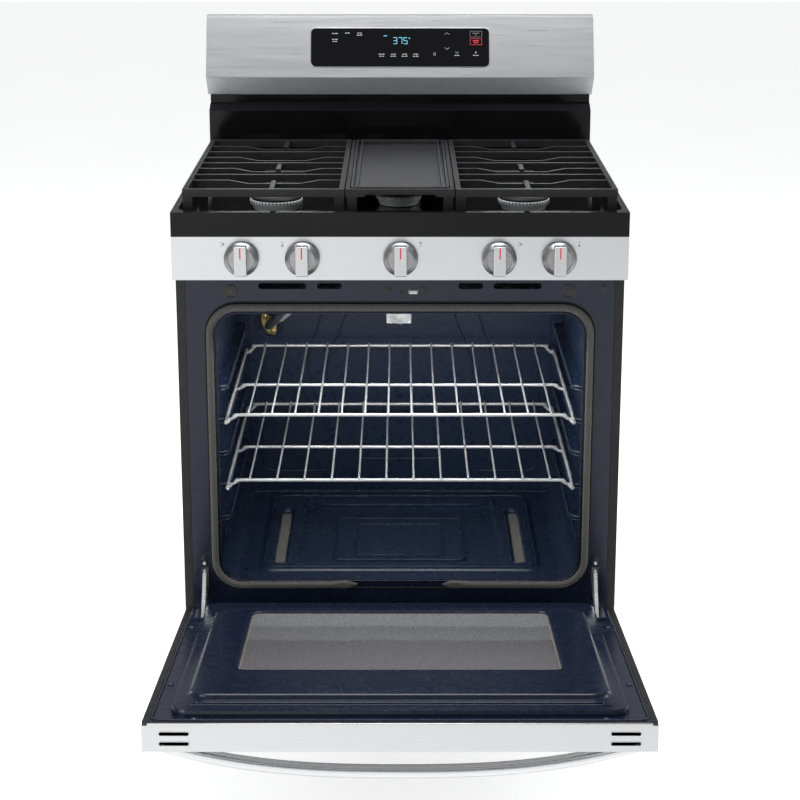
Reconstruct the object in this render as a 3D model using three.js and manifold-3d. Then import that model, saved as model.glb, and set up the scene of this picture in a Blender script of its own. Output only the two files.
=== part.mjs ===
// Freestanding gas range, 762 mm wide, drawn with its oven door open.
// Millimetres. +Z is up, the front faces -Y, and +X is to the right seen from the front.
// Inside the range, y = 0 is the front face of the oven's front frame.
import * as THREE from 'three';
import { mergeVertices } from 'three/addons/utils/BufferGeometryUtils.js';
import Module from 'manifold-3d';

// ---- driving dimensions ----
const HALF_W = 381;
const BODY_BACK = 662;
const OVERALL_BACK = 668;
const SKIN = 2;
const SIDE_RETURN = 15;
const SIDE_BOTTOM = 30;

const COOK_FRONT = -50;
const COOK_BACK = 597;
const COOK_BOTTOM = 875;
const COOK_TOP = 916;
const BASIN_FLOOR = 884;
const BASIN_HALF = 371;
const BASIN_FRONT = -36;
const BASIN_BACK = 572;

const PANEL_BOTTOM = 801;
const PANEL_FRONT = -50;
const KNOB_Z = 838.5;
const KNOB_XS = [-264, -162.5, 1, 165, 265];
const KNOB_R = 29;
const KNOB_BACK = -54.2;

const FRAME_HALF = 365.5;
const FRAME_TOP = 798;
const FRAME_BOTTOM = 160;
const FRAME_T = 2.5;
const MOUTH_HALF = 313;
const MOUTH_BOTTOM = 245;
const MOUTH_TOP = 730;
const MOUTH_R = 36;

const CAVITY_HALF = 320;
const CAVITY_FLOOR = 234;
const CAVITY_CEILING = 736;
const CAVITY_DEPTH = 508;
const CAVITY_T = 2.5;

const GASKET_HALF = 325;
const GASKET_BOTTOM = 237.5;
const GASKET_TOP = 742.5;
const GASKET_R = 47;

const RACK_UPPER_Z = 541;
const RACK_LOWER_Z = 421;
const RACK_HALF = 306;
const RACK_FRONT = 28;
const RACK_BACK = 468;

const DOOR_HALF = 374;
const DOOR_OPEN_DEG = 83;
const PIVOT_Y = -50;
const PIVOT_Z = 184;
const DOOR_INNER = 26;
const DOOR_OUTER = -16;
const DOOR_FOOT = -14;
const DOOR_HEAD = 598;
const LINER_SEAL = 10;
const LINER_RAISE = 18;
const HINGE_X = 345;

const DRAWER_TOP = 152;
const DRAWER_BOTTOM = 50;
const DRAWER_FRONT = -70;
const DRAWER_BACK = 420;
const DRAWER_HALF = 340;

const GRATE_TOP = 945;
const GRATE_BAR = 11;
const GRATE_DEEP = 13;
const GRATE_FRONT = 2;
const GRATE_BACK = 525;
const GRATE_SPLIT = 92.5;
const GRATE_OUT = 366;

const GUARD_TOP = 1172;
const GUARD_FOLD_Y = 598.5;
const GUARD_FOLD_Z = 1056;
const GUARD_HEAD_Y = 646;
const GUARD_HEAD_Z = 1168;

const GAP = 0.3;

// ---- solid modelling helpers ----
const wasm = await Module();
wasm.setup();

function toSolid(geometry) {
  const g = geometry.clone();
  g.deleteAttribute('normal');
  if (g.getAttribute('uv')) g.deleteAttribute('uv');
  const m = mergeVertices(g, 1e-4);
  const faces = [];
  for (let i = 0; i < m.index.count; i += 3) {
    const [a, b, c] = [m.index.getX(i), m.index.getX(i + 1), m.index.getX(i + 2)];
    if (a !== b && b !== c && c !== a) faces.push(a, b, c);
  }
  return new wasm.Manifold(new wasm.Mesh({
    numProp: 3,
    vertProperties: new Float32Array(m.getAttribute('position').array),
    triVerts: new Uint32Array(faces),
  }));
}

function toGeometry(solid) {
  const mesh = solid.getMesh();
  const g = new THREE.BufferGeometry();
  g.setAttribute('position', new THREE.BufferAttribute(new Float32Array(mesh.vertProperties), 3));
  g.setIndex(new THREE.BufferAttribute(new Uint32Array(mesh.triVerts), 1));
  g.computeVertexNormals();
  return g;
}

function join(list) {
  let out = toSolid(list[0]);
  for (const g of list.slice(1)) out = out.add(toSolid(g));
  return toGeometry(out);
}

function cut(base, tools) {
  let out = toSolid(base);
  for (const g of tools) out = out.subtract(toSolid(g));
  return toGeometry(out);
}

function box(x0, x1, y0, y1, z0, z1) {
  const g = new THREE.BoxGeometry(x1 - x0, y1 - y0, z1 - z0);
  g.translate((x0 + x1) / 2, (y0 + y1) / 2, (z0 + z1) / 2);
  return g;
}

function rod(r, a, b, sides = 12) {
  const from = new THREE.Vector3(...a);
  const to = new THREE.Vector3(...b);
  const g = new THREE.CylinderGeometry(r, r, from.distanceTo(to), sides);
  const dir = to.clone().sub(from).normalize();
  g.applyQuaternion(new THREE.Quaternion().setFromUnitVectors(new THREE.Vector3(0, 1, 0), dir));
  g.translate((from.x + to.x) / 2, (from.y + to.y) / 2, (from.z + to.z) / 2);
  return g;
}

function polygon(points) {
  return new THREE.Shape(points.map(([a, b]) => new THREE.Vector2(a, b)));
}

// outline in the XZ plane, given as (x, z), made solid from y0 to y1
function slabXZ(shape, y0, y1, segments = 6) {
  const options = { depth: y1 - y0, bevelEnabled: false, curveSegments: segments };
  const g = new THREE.ExtrudeGeometry(shape, options);
  g.rotateX(Math.PI / 2);
  g.translate(0, y1, 0);
  return g;
}

// outline in the XY plane, given as (x, y), made solid from z0 to z1
function slabXY(shape, z0, z1, segments = 6) {
  const options = { depth: z1 - z0, bevelEnabled: false, curveSegments: segments };
  const g = new THREE.ExtrudeGeometry(shape, options);
  g.translate(0, 0, z0);
  return g;
}

// outline in the YZ plane, given as (y, z), made solid from x0 to x1
function slabYZ(shape, x0, x1, segments = 6) {
  const options = { depth: x1 - x0, bevelEnabled: false, curveSegments: segments };
  const g = new THREE.ExtrudeGeometry(shape, options);
  g.applyMatrix4(new THREE.Matrix4().set(0, 0, 1, x0, 1, 0, 0, 0, 0, 1, 0, 0, 0, 0, 0, 1));
  return g;
}

function roundedRect(x0, x1, z0, z1, r) {
  const s = new THREE.Shape();
  s.moveTo(x0 + r, z0);
  s.lineTo(x1 - r, z0);
  s.absarc(x1 - r, z0 + r, r, -Math.PI / 2, 0, false);
  s.lineTo(x1, z1 - r);
  s.absarc(x1 - r, z1 - r, r, 0, Math.PI / 2, false);
  s.lineTo(x0 + r, z1);
  s.absarc(x0 + r, z1 - r, r, Math.PI / 2, Math.PI, false);
  s.lineTo(x0, z0 + r);
  s.absarc(x0 + r, z0 + r, r, Math.PI, Math.PI * 1.5, false);
  return s;
}

// round section swept along a path of points
function tube(points, r, sides = 8, steps = 24, smooth = true) {
  const path = smooth
    ? new THREE.CatmullRomCurve3(points.map((p) => new THREE.Vector3(...p)), false, 'centripetal')
    : new THREE.CurvePath();
  if (!smooth) {
    for (let i = 1; i < points.length; i += 1) {
      path.add(new THREE.LineCurve3(new THREE.Vector3(...points[i - 1]), new THREE.Vector3(...points[i])));
    }
  }
  const section = new THREE.Shape();
  for (let i = 0; i < sides; i += 1) {
    const a = (i / sides) * Math.PI * 2;
    if (i === 0) section.moveTo(r, 0);
    else section.lineTo(r * Math.cos(a), r * Math.sin(a));
  }
  return new THREE.ExtrudeGeometry(section, { steps, bevelEnabled: false, extrudePath: path });
}

function turned(profile, segments = 32) {
  const closed = [...profile, profile[0]];
  const onAxis = profile[0][0] === 0 && profile[profile.length - 1][0] === 0;
  const line = (onAxis ? profile : closed).map(([r, z]) => new THREE.Vector2(r, z));
  const g = new THREE.LatheGeometry(line, segments);
  g.rotateX(Math.PI / 2);
  return g;
}

// ---- materials ----
const looks = {
  steel: { color: 0xb9bbbe, roughness: 0.32, metalness: 1 },
  blackPaint: { color: 0x141416, roughness: 0.4, metalness: 0 },
  enamel: { color: 0x1d2436, roughness: 0.22, metalness: 0 },
  blackEnamel: { color: 0x101114, roughness: 0.18, metalness: 0 },
  castIron: { color: 0x1b1b1d, roughness: 0.75, metalness: 0.2 },
  chrome: { color: 0xd0d2d4, roughness: 0.14, metalness: 1 },
  aluminium: { color: 0xa9abad, roughness: 0.45, metalness: 1 },
  galvanised: { color: 0x8d9194, roughness: 0.5, metalness: 1 },
  glass: { color: 0x15171a, roughness: 0.06, metalness: 0 },
  braid: { color: 0x5c584f, roughness: 0.9, metalness: 0 },
  brass: { color: 0xa8964a, roughness: 0.4, metalness: 1 },
  plastic: { color: 0x18181a, roughness: 0.5, metalness: 0 },
};

function piece(name, geometry, look, parent) {
  const mesh = new THREE.Mesh(geometry, new THREE.MeshStandardMaterial(looks[look]));
  mesh.name = name;
  parent.add(mesh);
  return mesh;
}

const range = new THREE.Group();
const body = new THREE.Group();
range.add(body);

// ---- outer casing: sides with folded returns, back, base and levelling feet ----
for (const [name, s] of [['left_side_panel', -1], ['right_side_panel', 1]]) {
  const section = polygon([
    [s * (HALF_W - SIDE_RETURN), 0], [s * HALF_W, 0],
    [s * HALF_W, BODY_BACK], [s * (HALF_W - SIDE_RETURN), BODY_BACK],
    [s * (HALF_W - SIDE_RETURN), BODY_BACK - SKIN], [s * (HALF_W - SKIN), BODY_BACK - SKIN],
    [s * (HALF_W - SKIN), SKIN], [s * (HALF_W - SIDE_RETURN), SKIN],
  ]);
  piece(name, slabXY(section, SIDE_BOTTOM, COOK_BOTTOM - GAP), 'blackPaint', body);
}
const backHalf = HALF_W - SIDE_RETURN - 0.5;
piece('back_panel', box(-backHalf, backHalf, BODY_BACK - SKIN, BODY_BACK, 47, COOK_BOTTOM - GAP),
  'galvanised', body);

const railIn = 330;
const railOut = HALF_W - SKIN - GAP;
piece('base_frame', join([
  box(-railOut, -railIn, 8, BODY_BACK - 6, SIDE_BOTTOM + GAP, 46),
  box(railIn, railOut, 8, BODY_BACK - 6, SIDE_BOTTOM + GAP, 46),
  box(-railOut, railOut, 8, 40, SIDE_BOTTOM + GAP, 42),
  box(-railOut, railOut, BODY_BACK - 46, BODY_BACK - 6, SIDE_BOTTOM + GAP, 46),
]), 'galvanised', body);

const footSpots = [['front_left', -352, 26], ['front_right', 352, 26], ['rear_left', -352, 630],
  ['rear_right', 352, 630]];
for (const [where, x, y] of footSpots) {
  const foot = toGeometry(toSolid(turned([[0, 0], [17, 0], [17, 9], [6, 11], [6, SIDE_BOTTOM],
    [0, SIDE_BOTTOM]], 16)));
  piece(`levelling_foot_${where}`, foot, 'plastic', body).position.set(x, y, 0);
}

// ---- cooktop: black enamelled pan with a sunken basin ----
piece('cooktop', cut(box(-HALF_W, HALF_W, COOK_FRONT, COOK_BACK, COOK_BOTTOM, COOK_TOP), [
  slabXY(roundedRect(-BASIN_HALF, BASIN_HALF, BASIN_FRONT, BASIN_BACK, 24), BASIN_FLOOR, COOK_TOP + 1, 4),
  box(-HALF_W + 3, HALF_W - 3, COOK_FRONT + 3, COOK_BACK - 3, COOK_BOTTOM - 1, BASIN_FLOOR - 3),
]), 'blackEnamel', body);

// ---- control panel with five holes for the valve stems ----
const stemHoles = KNOB_XS.map(
  (x) => rod(7, [x, PANEL_FRONT - 2, KNOB_Z], [x, PANEL_FRONT + 4, KNOB_Z], 16),
);
const panelSection = polygon([
  [PANEL_FRONT, PANEL_BOTTOM], [-0.6, PANEL_BOTTOM], [-0.6, PANEL_BOTTOM + 2],
    [PANEL_FRONT + 2, PANEL_BOTTOM + 2],
  [PANEL_FRONT + 2, COOK_BOTTOM - 2.3], [-12, COOK_BOTTOM - 2.3], [-12, COOK_BOTTOM - GAP],
    [PANEL_FRONT, COOK_BOTTOM - GAP],
]);
const panelBlank = join([
  slabYZ(panelSection, -HALF_W, HALF_W),
  box(-HALF_W, -HALF_W + 2, PANEL_FRONT + 0.5, -0.6, PANEL_BOTTOM + 0.5, COOK_BOTTOM - 1),
  box(HALF_W - 2, HALF_W, PANEL_FRONT + 0.5, -0.6, PANEL_BOTTOM + 0.5, COOK_BOTTOM - 1),
]);
piece('control_panel', cut(panelBlank, stemHoles), 'steel', body);

// ---- backguard ----
const guardOuter = polygon([
  [638, 1017], [GUARD_FOLD_Y, GUARD_FOLD_Z], [GUARD_HEAD_Y, GUARD_HEAD_Z],
  [652, GUARD_TOP], [664, GUARD_TOP], [664, 1017],
]);
const guardInner = polygon([
  [641, 1020], [GUARD_FOLD_Y + 4.5, GUARD_FOLD_Z + 0.5], [GUARD_HEAD_Y + 3, GUARD_HEAD_Z - 3],
  [654, GUARD_TOP - 3], [670, GUARD_TOP - 3], [670, 1020],
]);
piece('backguard_fascia', cut(slabYZ(guardOuter, -HALF_W, HALF_W), [
  slabYZ(guardInner, -HALF_W + 3, HALF_W - 3),
]), 'steel', body);

const splashOuter = polygon([
  [600, COOK_BOTTOM], [600, 990], [622, 1001], [634, 1001], [634, 1016.7], [664, 1016.7],
    [664, COOK_BOTTOM],
]);
const splashInner = polygon([
  [603, 860], [603, 988], [623, 998], [637, 998], [637, 1013.7], [670, 1013.7], [670, 860],
]);
piece('backsplash', cut(slabYZ(splashOuter, -376, 376), [slabYZ(splashInner, -373, 373)]),
  'blackEnamel', body);
piece('backguard_rear_cover', box(-378, 378, 664 + GAP, OVERALL_BACK, COOK_BOTTOM, GUARD_TOP - 2),
  'galvanised', body);

const guardTilt = Math.atan2(GUARD_HEAD_Y - GUARD_FOLD_Y, GUARD_HEAD_Z - GUARD_FOLD_Z);
const displaySeat = new THREE.Group();
displaySeat.position.set(0, GUARD_FOLD_Y, GUARD_FOLD_Z);
displaySeat.rotation.x = -guardTilt;
body.add(displaySeat);
piece('display_glass', slabXZ(roundedRect(-174.5, 174.5, 22, 99, 9), -2.4, -GAP, 4), 'glass', displaySeat);

// ---- oven cavity, its back wall and the enamelled front frame ----
const wrapShape = roundedRect(
  -CAVITY_HALF - CAVITY_T, CAVITY_HALF + CAVITY_T,
  CAVITY_FLOOR - CAVITY_T, CAVITY_CEILING + CAVITY_T, 40,
);
const wrapHole = roundedRect(-CAVITY_HALF, CAVITY_HALF, CAVITY_FLOOR, CAVITY_CEILING, 37.5);
const wrap = cut(slabXZ(wrapShape, FRAME_T + GAP, CAVITY_DEPTH, 5),
  [slabXZ(wrapHole, -10, CAVITY_DEPTH + 10, 5)]);
const ledges = [];
for (const z of [361, RACK_LOWER_Z, 481, RACK_UPPER_Z, 601]) {
  for (const s of [-1, 1]) {
    const [a, b] = s < 0 ? [-CAVITY_HALF - 1, -300] : [300, CAVITY_HALF + 1];
    ledges.push(box(a, b, 40, 474, z - 17, z - 12));
  }
}
piece('oven_cavity', join([wrap, ...ledges]), 'enamel', body);
const backRecess = rod(27, [-259, CAVITY_DEPTH - 2, 581], [-259, CAVITY_DEPTH + 2.3, 581], 20);
piece('oven_back_wall', cut(
  slabXZ(wrapShape, CAVITY_DEPTH + GAP, CAVITY_DEPTH + 4, 5),
  [backRecess, rod(5, [286, 500, 640], [286, 520, 640], 12)],
), 'enamel', body);

const frameCuts = [slabXZ(roundedRect(-MOUTH_HALF, MOUTH_HALF, MOUTH_BOTTOM, MOUTH_TOP, MOUTH_R),
  -5, 10, 6)];
for (const s of [-1, 1]) {
  for (const [a, b] of [[159, 241], [99, 141]]) {
    const slot = roundedRect(Math.min(s * a, s * b), Math.max(s * a, s * b), 773.5, 784, 5);
    frameCuts.push(slabXZ(slot, -5, 10, 4));
  }
  frameCuts.push(box(s * HINGE_X - 6.5, s * HINGE_X + 6.5, -5, 10, 206, 268));
}
frameCuts.push(box(14, 31, -5, 10, 764, 772));
piece('front_frame', cut(box(-FRAME_HALF, FRAME_HALF, 0, FRAME_T, FRAME_BOTTOM, FRAME_TOP), frameCuts),
  'enamel', body);

// braided door seal: a loop open at the middle of its lower run
function gasketPath() {
  const pts = [];
  const zs = [GASKET_BOTTOM, GASKET_TOP];
  const corners = [[-1, 0], [-1, 1], [1, 1], [1, 0]];
  pts.push([-75, -7, GASKET_BOTTOM + 1]);
  corners.forEach(([s, top]) => {
    const cx = s * (GASKET_HALF - GASKET_R);
    const cz = top ? zs[1] - GASKET_R : zs[0] + GASKET_R;
    const start = { '-10': Math.PI * 1.5, '-11': Math.PI, '11': Math.PI / 2, '10': 0 }[`${s}${top}`];
    for (let k = 0; k <= 4; k += 1) {
      const a = start - (k / 4) * (Math.PI / 2);
      pts.push([cx + GASKET_R * Math.cos(a), -7, cz + GASKET_R * Math.sin(a)]);
    }
  });
  pts.push([75, -7, GASKET_BOTTOM + 1]);
  return pts;
}
piece('door_gasket', tube(gasketPath(), 6.3, 7, 60), 'braid', body);

// ---- oven floor panel with two slots, a ridge and a stepped plate ----
const slotCuts = [];
for (const s of [-1, 1]) {
  slotCuts.push(slabXY(roundedRect(Math.min(s * 209, s * 227), Math.max(s * 209, s * 227), 91, 368, 8),
    230, 260, 3));
}
piece('oven_floor_panel', cut(join([
  slabXY(roundedRect(-256, 256, 60, 462, 16), CAVITY_FLOOR + GAP, CAVITY_FLOOR + 3, 3),
  box(-187, 187, 378, 432, CAVITY_FLOOR + 1, CAVITY_FLOOR + 12),
  slabXY(roundedRect(-120, 120, 112, 323, 12), CAVITY_FLOOR + 2, CAVITY_FLOOR + 6, 3),
  slabXY(roundedRect(-81, 81, 128, 285, 8), CAVITY_FLOOR + 5, CAVITY_FLOOR + 8, 3),
]), slotCuts), 'enamel', body);

// ---- gas parts: manifold with five valves, oven burners ----
const valveParts = [rod(9, [-330, 10, KNOB_Z], [354, 10, KNOB_Z], 12)];
KNOB_XS.forEach((x) => valveParts.push(box(x - 12, x + 12, -32, 12, KNOB_Z - 12, KNOB_Z + 12)));
valveParts.push(rod(9, [345, 10, KNOB_Z], [345, 612, KNOB_Z], 12));
valveParts.push(rod(26, [345, 590, KNOB_Z - 24], [345, 590, KNOB_Z + 16], 20));
const stemBores = KNOB_XS.map((x) => rod(4.6, [x, -40, KNOB_Z], [x, -18, KNOB_Z], 12));
piece('gas_manifold', cut(join(valveParts), stemBores), 'aluminium', body);

piece('bake_burner', tube([
  [0, 600, 196], [0, 470, 196], [-60, 430, 196], [-110, 380, 196], [-120, 250, 196], [-110, 120, 196],
  [-60, 80, 196], [0, 70, 196], [60, 80, 196], [110, 120, 196], [120, 250, 196], [112, 370, 196],
    [70, 400, 196],
], 10, 7, 30), 'aluminium', body);

piece('broil_burner', join([
  box(-152, 152, 186, 420, 692, 694),
  box(-152, 152, 186, 188, 684, 693),
  rod(13, [0, 200, 681], [0, 410, 681], 16),
  box(-24, 20, 190, 214, 664, 684),
  box(-4, 4, 300, 312, 690, 736 - GAP),
  tube([[-259, CAVITY_DEPTH - 6, 581], [-257, 470, 585], [-236, 444, 612], [-190, 424, 648],
    [-110, 405, 674], [0, 396, 681]], 8, 8, 18),
]), 'aluminium', body);
piece('broil_burner_flange', cut(join([
  slabXZ(roundedRect(-284, -234, 566, 596, 15), CAVITY_DEPTH - 2.6, CAVITY_DEPTH - GAP, 5),
]), [rod(9, [-259, 480, 581], [-259, 530, 581], 20)]), 'brass', body);
piece('temperature_sensor', join([
  rod(3, [286, 430, 640], [286, CAVITY_DEPTH + 14, 640], 10),
  rod(4.2, [286, CAVITY_DEPTH - 8, 640], [286, CAVITY_DEPTH + 12, 640], 10),
]), 'chrome', body);
piece('door_latch', join([
  box(-34, 62, 4, 60, 744, 792),
  box(16, 29, -1, 6, 765, 771),
]), 'galvanised', body);

// ---- surface burners ----
const burners = [
  ['left_front', -217, 147, 47], ['left_rear', -217, 380, 40], ['centre', -2, 190, 41],
  ['right_rear', 215, 380, 40], ['right_front', 217, 147, 46],
];
for (const [where, x, y, r] of burners) {
  const z = BASIN_FLOOR + GAP;
  const head = turned([[0, z], [r + 3, z], [r + 1, z + 4], [r - 1, z + 6], [r, z + 18], [0, z + 18]], 22);
  piece(`burner_head_${where}`, toGeometry(toSolid(head)), 'aluminium', body).position.set(x, y, 0);
  const c = z + 18 + GAP;
  const cap = turned([[0, c], [r - 6, c], [r - 3, c + 2], [r - 3, c + 5], [r - 10, c + 8], [0, c + 8]], 22);
  piece(`burner_cap_${where}`, toGeometry(toSolid(cap)), 'castIron', body).position.set(x, y, 0);
}

// ---- grates ----
const low = GRATE_TOP - GRATE_DEEP;

// one cross bar; a dipped bar sinks towards the burner in its middle
function crossBar(x0, x1, y, middle, dip) {
  const w = 3.8;
  if (!dip) return box(x0, x1, y - w, y + w, low, GRATE_TOP);
  const line = [
    [x0, low], [x1, low], [x1, GRATE_TOP], [middle + 78, GRATE_TOP], [middle + 44, GRATE_TOP - 6],
    [middle - 44, GRATE_TOP - 6], [middle - 78, GRATE_TOP], [x0, GRATE_TOP],
  ];
  return slabXZ(polygon(line), y - w, y + w);
}

function outerGrate(s) {
  const [a, b] = s < 0 ? [-GRATE_OUT, -GRATE_SPLIT - 1] : [GRATE_SPLIT + 1, GRATE_OUT];
  const mid = s * 217;
  const bars = [
    box(a, b, GRATE_FRONT, GRATE_FRONT + GRATE_BAR, low, GRATE_TOP),
    box(a, b, GRATE_BACK - GRATE_BAR, GRATE_BACK, low, GRATE_TOP),
    box(a, a + 9, GRATE_FRONT, GRATE_BACK, low, GRATE_TOP),
    box(b - 9, b, GRATE_FRONT, GRATE_BACK, low, GRATE_TOP),
  ];
  [90, 145, 205, 263, 321, 383, 445].forEach((y, i) => {
    bars.push(crossBar(a + 2, b - 2, y, mid, i % 2 === 0));
  });
  for (const [y0, y1] of [[6, 94], [205, 263], [445, 518]]) {
    bars.push(box(mid - 4, mid + 4, y0, y1, low + 1, GRATE_TOP - 1.5));
  }
  for (const y of [GRATE_FRONT, GRATE_BACK - 14, 256]) {
    bars.push(box(a + 1, a + 17, y + 1, y + 13, BASIN_FLOOR + GAP, low + 2));
    bars.push(box(b - 17, b - 1, y + 1, y + 13, BASIN_FLOOR + GAP, low + 2));
  }
  return join(bars);
}

const centreHalf = GRATE_SPLIT - 1;
function centreGrate() {
  const notch = slabXZ(polygon([[-64, low - 2], [64, low - 2], [53, GRATE_TOP - 5.5],
    [-53, GRATE_TOP - 5.5]]), GRATE_FRONT - 2, GRATE_FRONT + GRATE_BAR + 1);
  const bars = [
    box(-centreHalf, centreHalf, GRATE_FRONT, GRATE_FRONT + GRATE_BAR, low, GRATE_TOP),
    box(-centreHalf, centreHalf, GRATE_BACK - 8, GRATE_BACK, low, GRATE_TOP - 2),
    box(-centreHalf, -centreHalf + 7, GRATE_FRONT, GRATE_BACK, low, GRATE_TOP - 1),
    box(centreHalf - 7, centreHalf, GRATE_FRONT, GRATE_BACK, low, GRATE_TOP - 1),
  ];
  for (const y of [96, 280, 430]) {
    bars.push(box(-centreHalf + 3, centreHalf - 3, y - 4, y + 4, low - 8, low + 1));
  }
  for (const y of [GRATE_FRONT, GRATE_BACK - 14, 256]) {
    for (const s of [-1, 1]) {
      bars.push(box(s * 81 - 8, s * 81 + 8, y + 1, y + 13, BASIN_FLOOR + GAP, low + 1));
    }
  }
  return cut(join(bars), [notch]);
}

piece('grate_left', outerGrate(-1), 'castIron', body);
piece('grate_right', outerGrate(1), 'castIron', body);
piece('grate_centre', centreGrate(), 'castIron', body);

const plateFront = GRATE_FRONT + GRATE_BAR + 1;
const plateBack = GRATE_BACK - 9;
const griddlePan = slabXY(roundedRect(-83, 83, plateFront, plateBack, 8), low + 1.5, GRATE_TOP + 1.5, 3);
piece('griddle', cut(griddlePan, [
  slabXY(roundedRect(-79, -74, plateFront + 5, plateBack - 5, 2), low + 6, GRATE_TOP + 4, 2),
  slabXY(roundedRect(74, 79, plateFront + 5, plateBack - 5, 2), low + 6, GRATE_TOP + 4, 2),
  slabXY(roundedRect(-70, 70, plateFront + 1.5, plateBack - 14, 6), low + 7, GRATE_TOP + 4, 3),
]), 'castIron', body);

// ---- valve stems and knobs ----
KNOB_XS.forEach((x, i) => {
  const n = i + 1;
  piece(`valve_stem_${n}`, rod(4, [x, -70, KNOB_Z], [x, -24, KNOB_Z], 12), 'brass', body);
  const skirt = turned([
    [0, 0], [KNOB_R - 1, 0], [KNOB_R, 1.5], [KNOB_R, 8], [KNOB_R - 4, 15], [KNOB_R - 8, 16.5], [0, 16.5],
  ], 24);
  const grip = box(-5.5, 5.5, -21, 21, 14, 28);
  const bore = new THREE.CylinderGeometry(4.4, 4.4, 40, 12);
  bore.rotateX(Math.PI / 2);
  const shape = cut(join([skirt, grip]), [bore]);
  const knob = piece(`knob_${n}`, shape, 'steel', body);
  knob.rotation.x = Math.PI / 2;
  knob.position.set(x, KNOB_BACK, KNOB_Z);
});

// ---- oven racks in chrome wire ----
// The side rails run below the grid, and the long wires bend up at the back over the last rail.
const RACK_DROP = 8;
const RACK_LIFT = 5;
const WIRE_HALF = 264;
function rack(z, wireCount) {
  const side = RACK_HALF - 3;
  const shoulder = side - 24;
  const y0 = RACK_FRONT;
  const y1 = RACK_BACK;
  const bend = y1 - 40;
  const wires = [];
  for (const s of [-1, 1]) {
    wires.push(rod(3, [s * side, y0 - 6, z - RACK_DROP], [s * side, y1 + 6, z - RACK_DROP], 6));
  }
  for (const [y, r, rise] of [[y0, 3, 0], [y0 + 185, 2.8, 0], [y1, 3, RACK_LIFT]]) {
    const top = z + rise;
    wires.push(rod(r, [-shoulder - 1, y, top], [shoulder + 1, y, top], 6));
    for (const s of [-1, 1]) {
      wires.push(rod(r - 0.4, [s * (shoulder - 3), y, top + 0.2], [s * side, y, z - RACK_DROP + 0.3], 6));
    }
  }
  for (let i = 0; i < wireCount; i += 1) {
    const x = -WIRE_HALF + (2 * WIRE_HALF * i) / (wireCount - 1);
    wires.push(rod(1.9, [x, y0 - 1, z + 2.6], [x, bend + 1, z + 2.6], 5));
    wires.push(rod(1.8, [x, bend, z + 2.6], [x, y1 + 1, z + 2.6 + RACK_LIFT], 5));
  }
  return join(wires);
}
piece('rack_upper', rack(RACK_UPPER_Z, 14), 'chrome', body);
piece('rack_lower', rack(RACK_LOWER_Z, 12), 'chrome', body);

// ---- hinge arms: each hooks into the frame slot and carries the door's pivot pin ----
for (const [name, s] of [['hinge_arm_left', -1], ['hinge_arm_right', 1]]) {
  const x = s * HINGE_X;
  const arm = slabYZ(polygon([
    [PIVOT_Y - 9, PIVOT_Z - 5], [PIVOT_Y - 5, PIVOT_Z - 9], [PIVOT_Y + 6, PIVOT_Z - 9],
      [PIVOT_Y + 12, PIVOT_Z + 4],
    [PIVOT_Y + 34, PIVOT_Z + 27], [14, PIVOT_Z + 27], [14, PIVOT_Z + 62], [6, PIVOT_Z + 76],
    [-8, PIVOT_Z + 76], [PIVOT_Y + 22, PIVOT_Z + 46], [PIVOT_Y - 7, PIVOT_Z + 12],
  ]), x - 3, x + 3);
  piece(name, join([arm, rod(3.6, [x - 13, PIVOT_Y, PIVOT_Z], [x + 13, PIVOT_Y, PIVOT_Z], 12)]),
    'chrome', body);
}

// ---- oven door, drawn about its hinge pin and laid open ----
const door = new THREE.Group();
door.position.set(0, PIVOT_Y, PIVOT_Z);
door.rotation.x = THREE.MathUtils.degToRad(DOOR_OPEN_DEG);
body.add(door);
const pockets = [];
for (const s of [-1, 1]) {
  const x = s * HINGE_X;
  pockets.push(box(x - 7, x + 7, DOOR_OUTER + 3, DOOR_INNER + 20, DOOR_FOOT - 2, 70));
}
const pinBores = [-1, 1].map((s) => rod(4.2, [s * HINGE_X - 15, 0, 0], [s * HINGE_X + 15, 0, 0], 12));

const linerBack = DOOR_INNER - 2.7;
const shellBlank = box(-DOOR_HALF, DOOR_HALF, DOOR_OUTER, linerBack, DOOR_FOOT, DOOR_HEAD);
const shellVoid = box(-DOOR_HALF + 2, DOOR_HALF - 2, DOOR_OUTER + 2, linerBack + 5, DOOR_FOOT + 2,
  DOOR_HEAD - 2);
const shellVents = [];
for (const s of [-1, 1]) {
  for (const y of [-4, 11]) {
    const vent = roundedRect(s * 327 - 22, s * 327 + 22, y - 3, y + 3, 2.8);
    shellVents.push(slabXY(vent, DOOR_HEAD - 6, DOOR_HEAD + 6, 4));
  }
}
const hingeBlocks = [-1, 1].map((s) => box(s * HINGE_X - 18, s * HINGE_X + 18, DOOR_OUTER + 1,
  DOOR_INNER - 3.5, DOOR_FOOT + 1, 74));
const shellBody = join([cut(shellBlank, [shellVoid]), ...hingeBlocks]);
piece('door_shell', cut(shellBody, [
  ...pockets, ...pinBores, ...shellVents,
  slabXZ(roundedRect(-290, 290, 70, 450, 12), DOOR_OUTER - 2, DOOR_OUTER + 3, 3),
]), 'steel', door);
piece('door_outer_glass', slabXZ(roundedRect(-289.6, 289.6, 70.4, 449.6, 11.6),
  DOOR_OUTER, DOOR_OUTER + 5, 3), 'glass', door);

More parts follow.
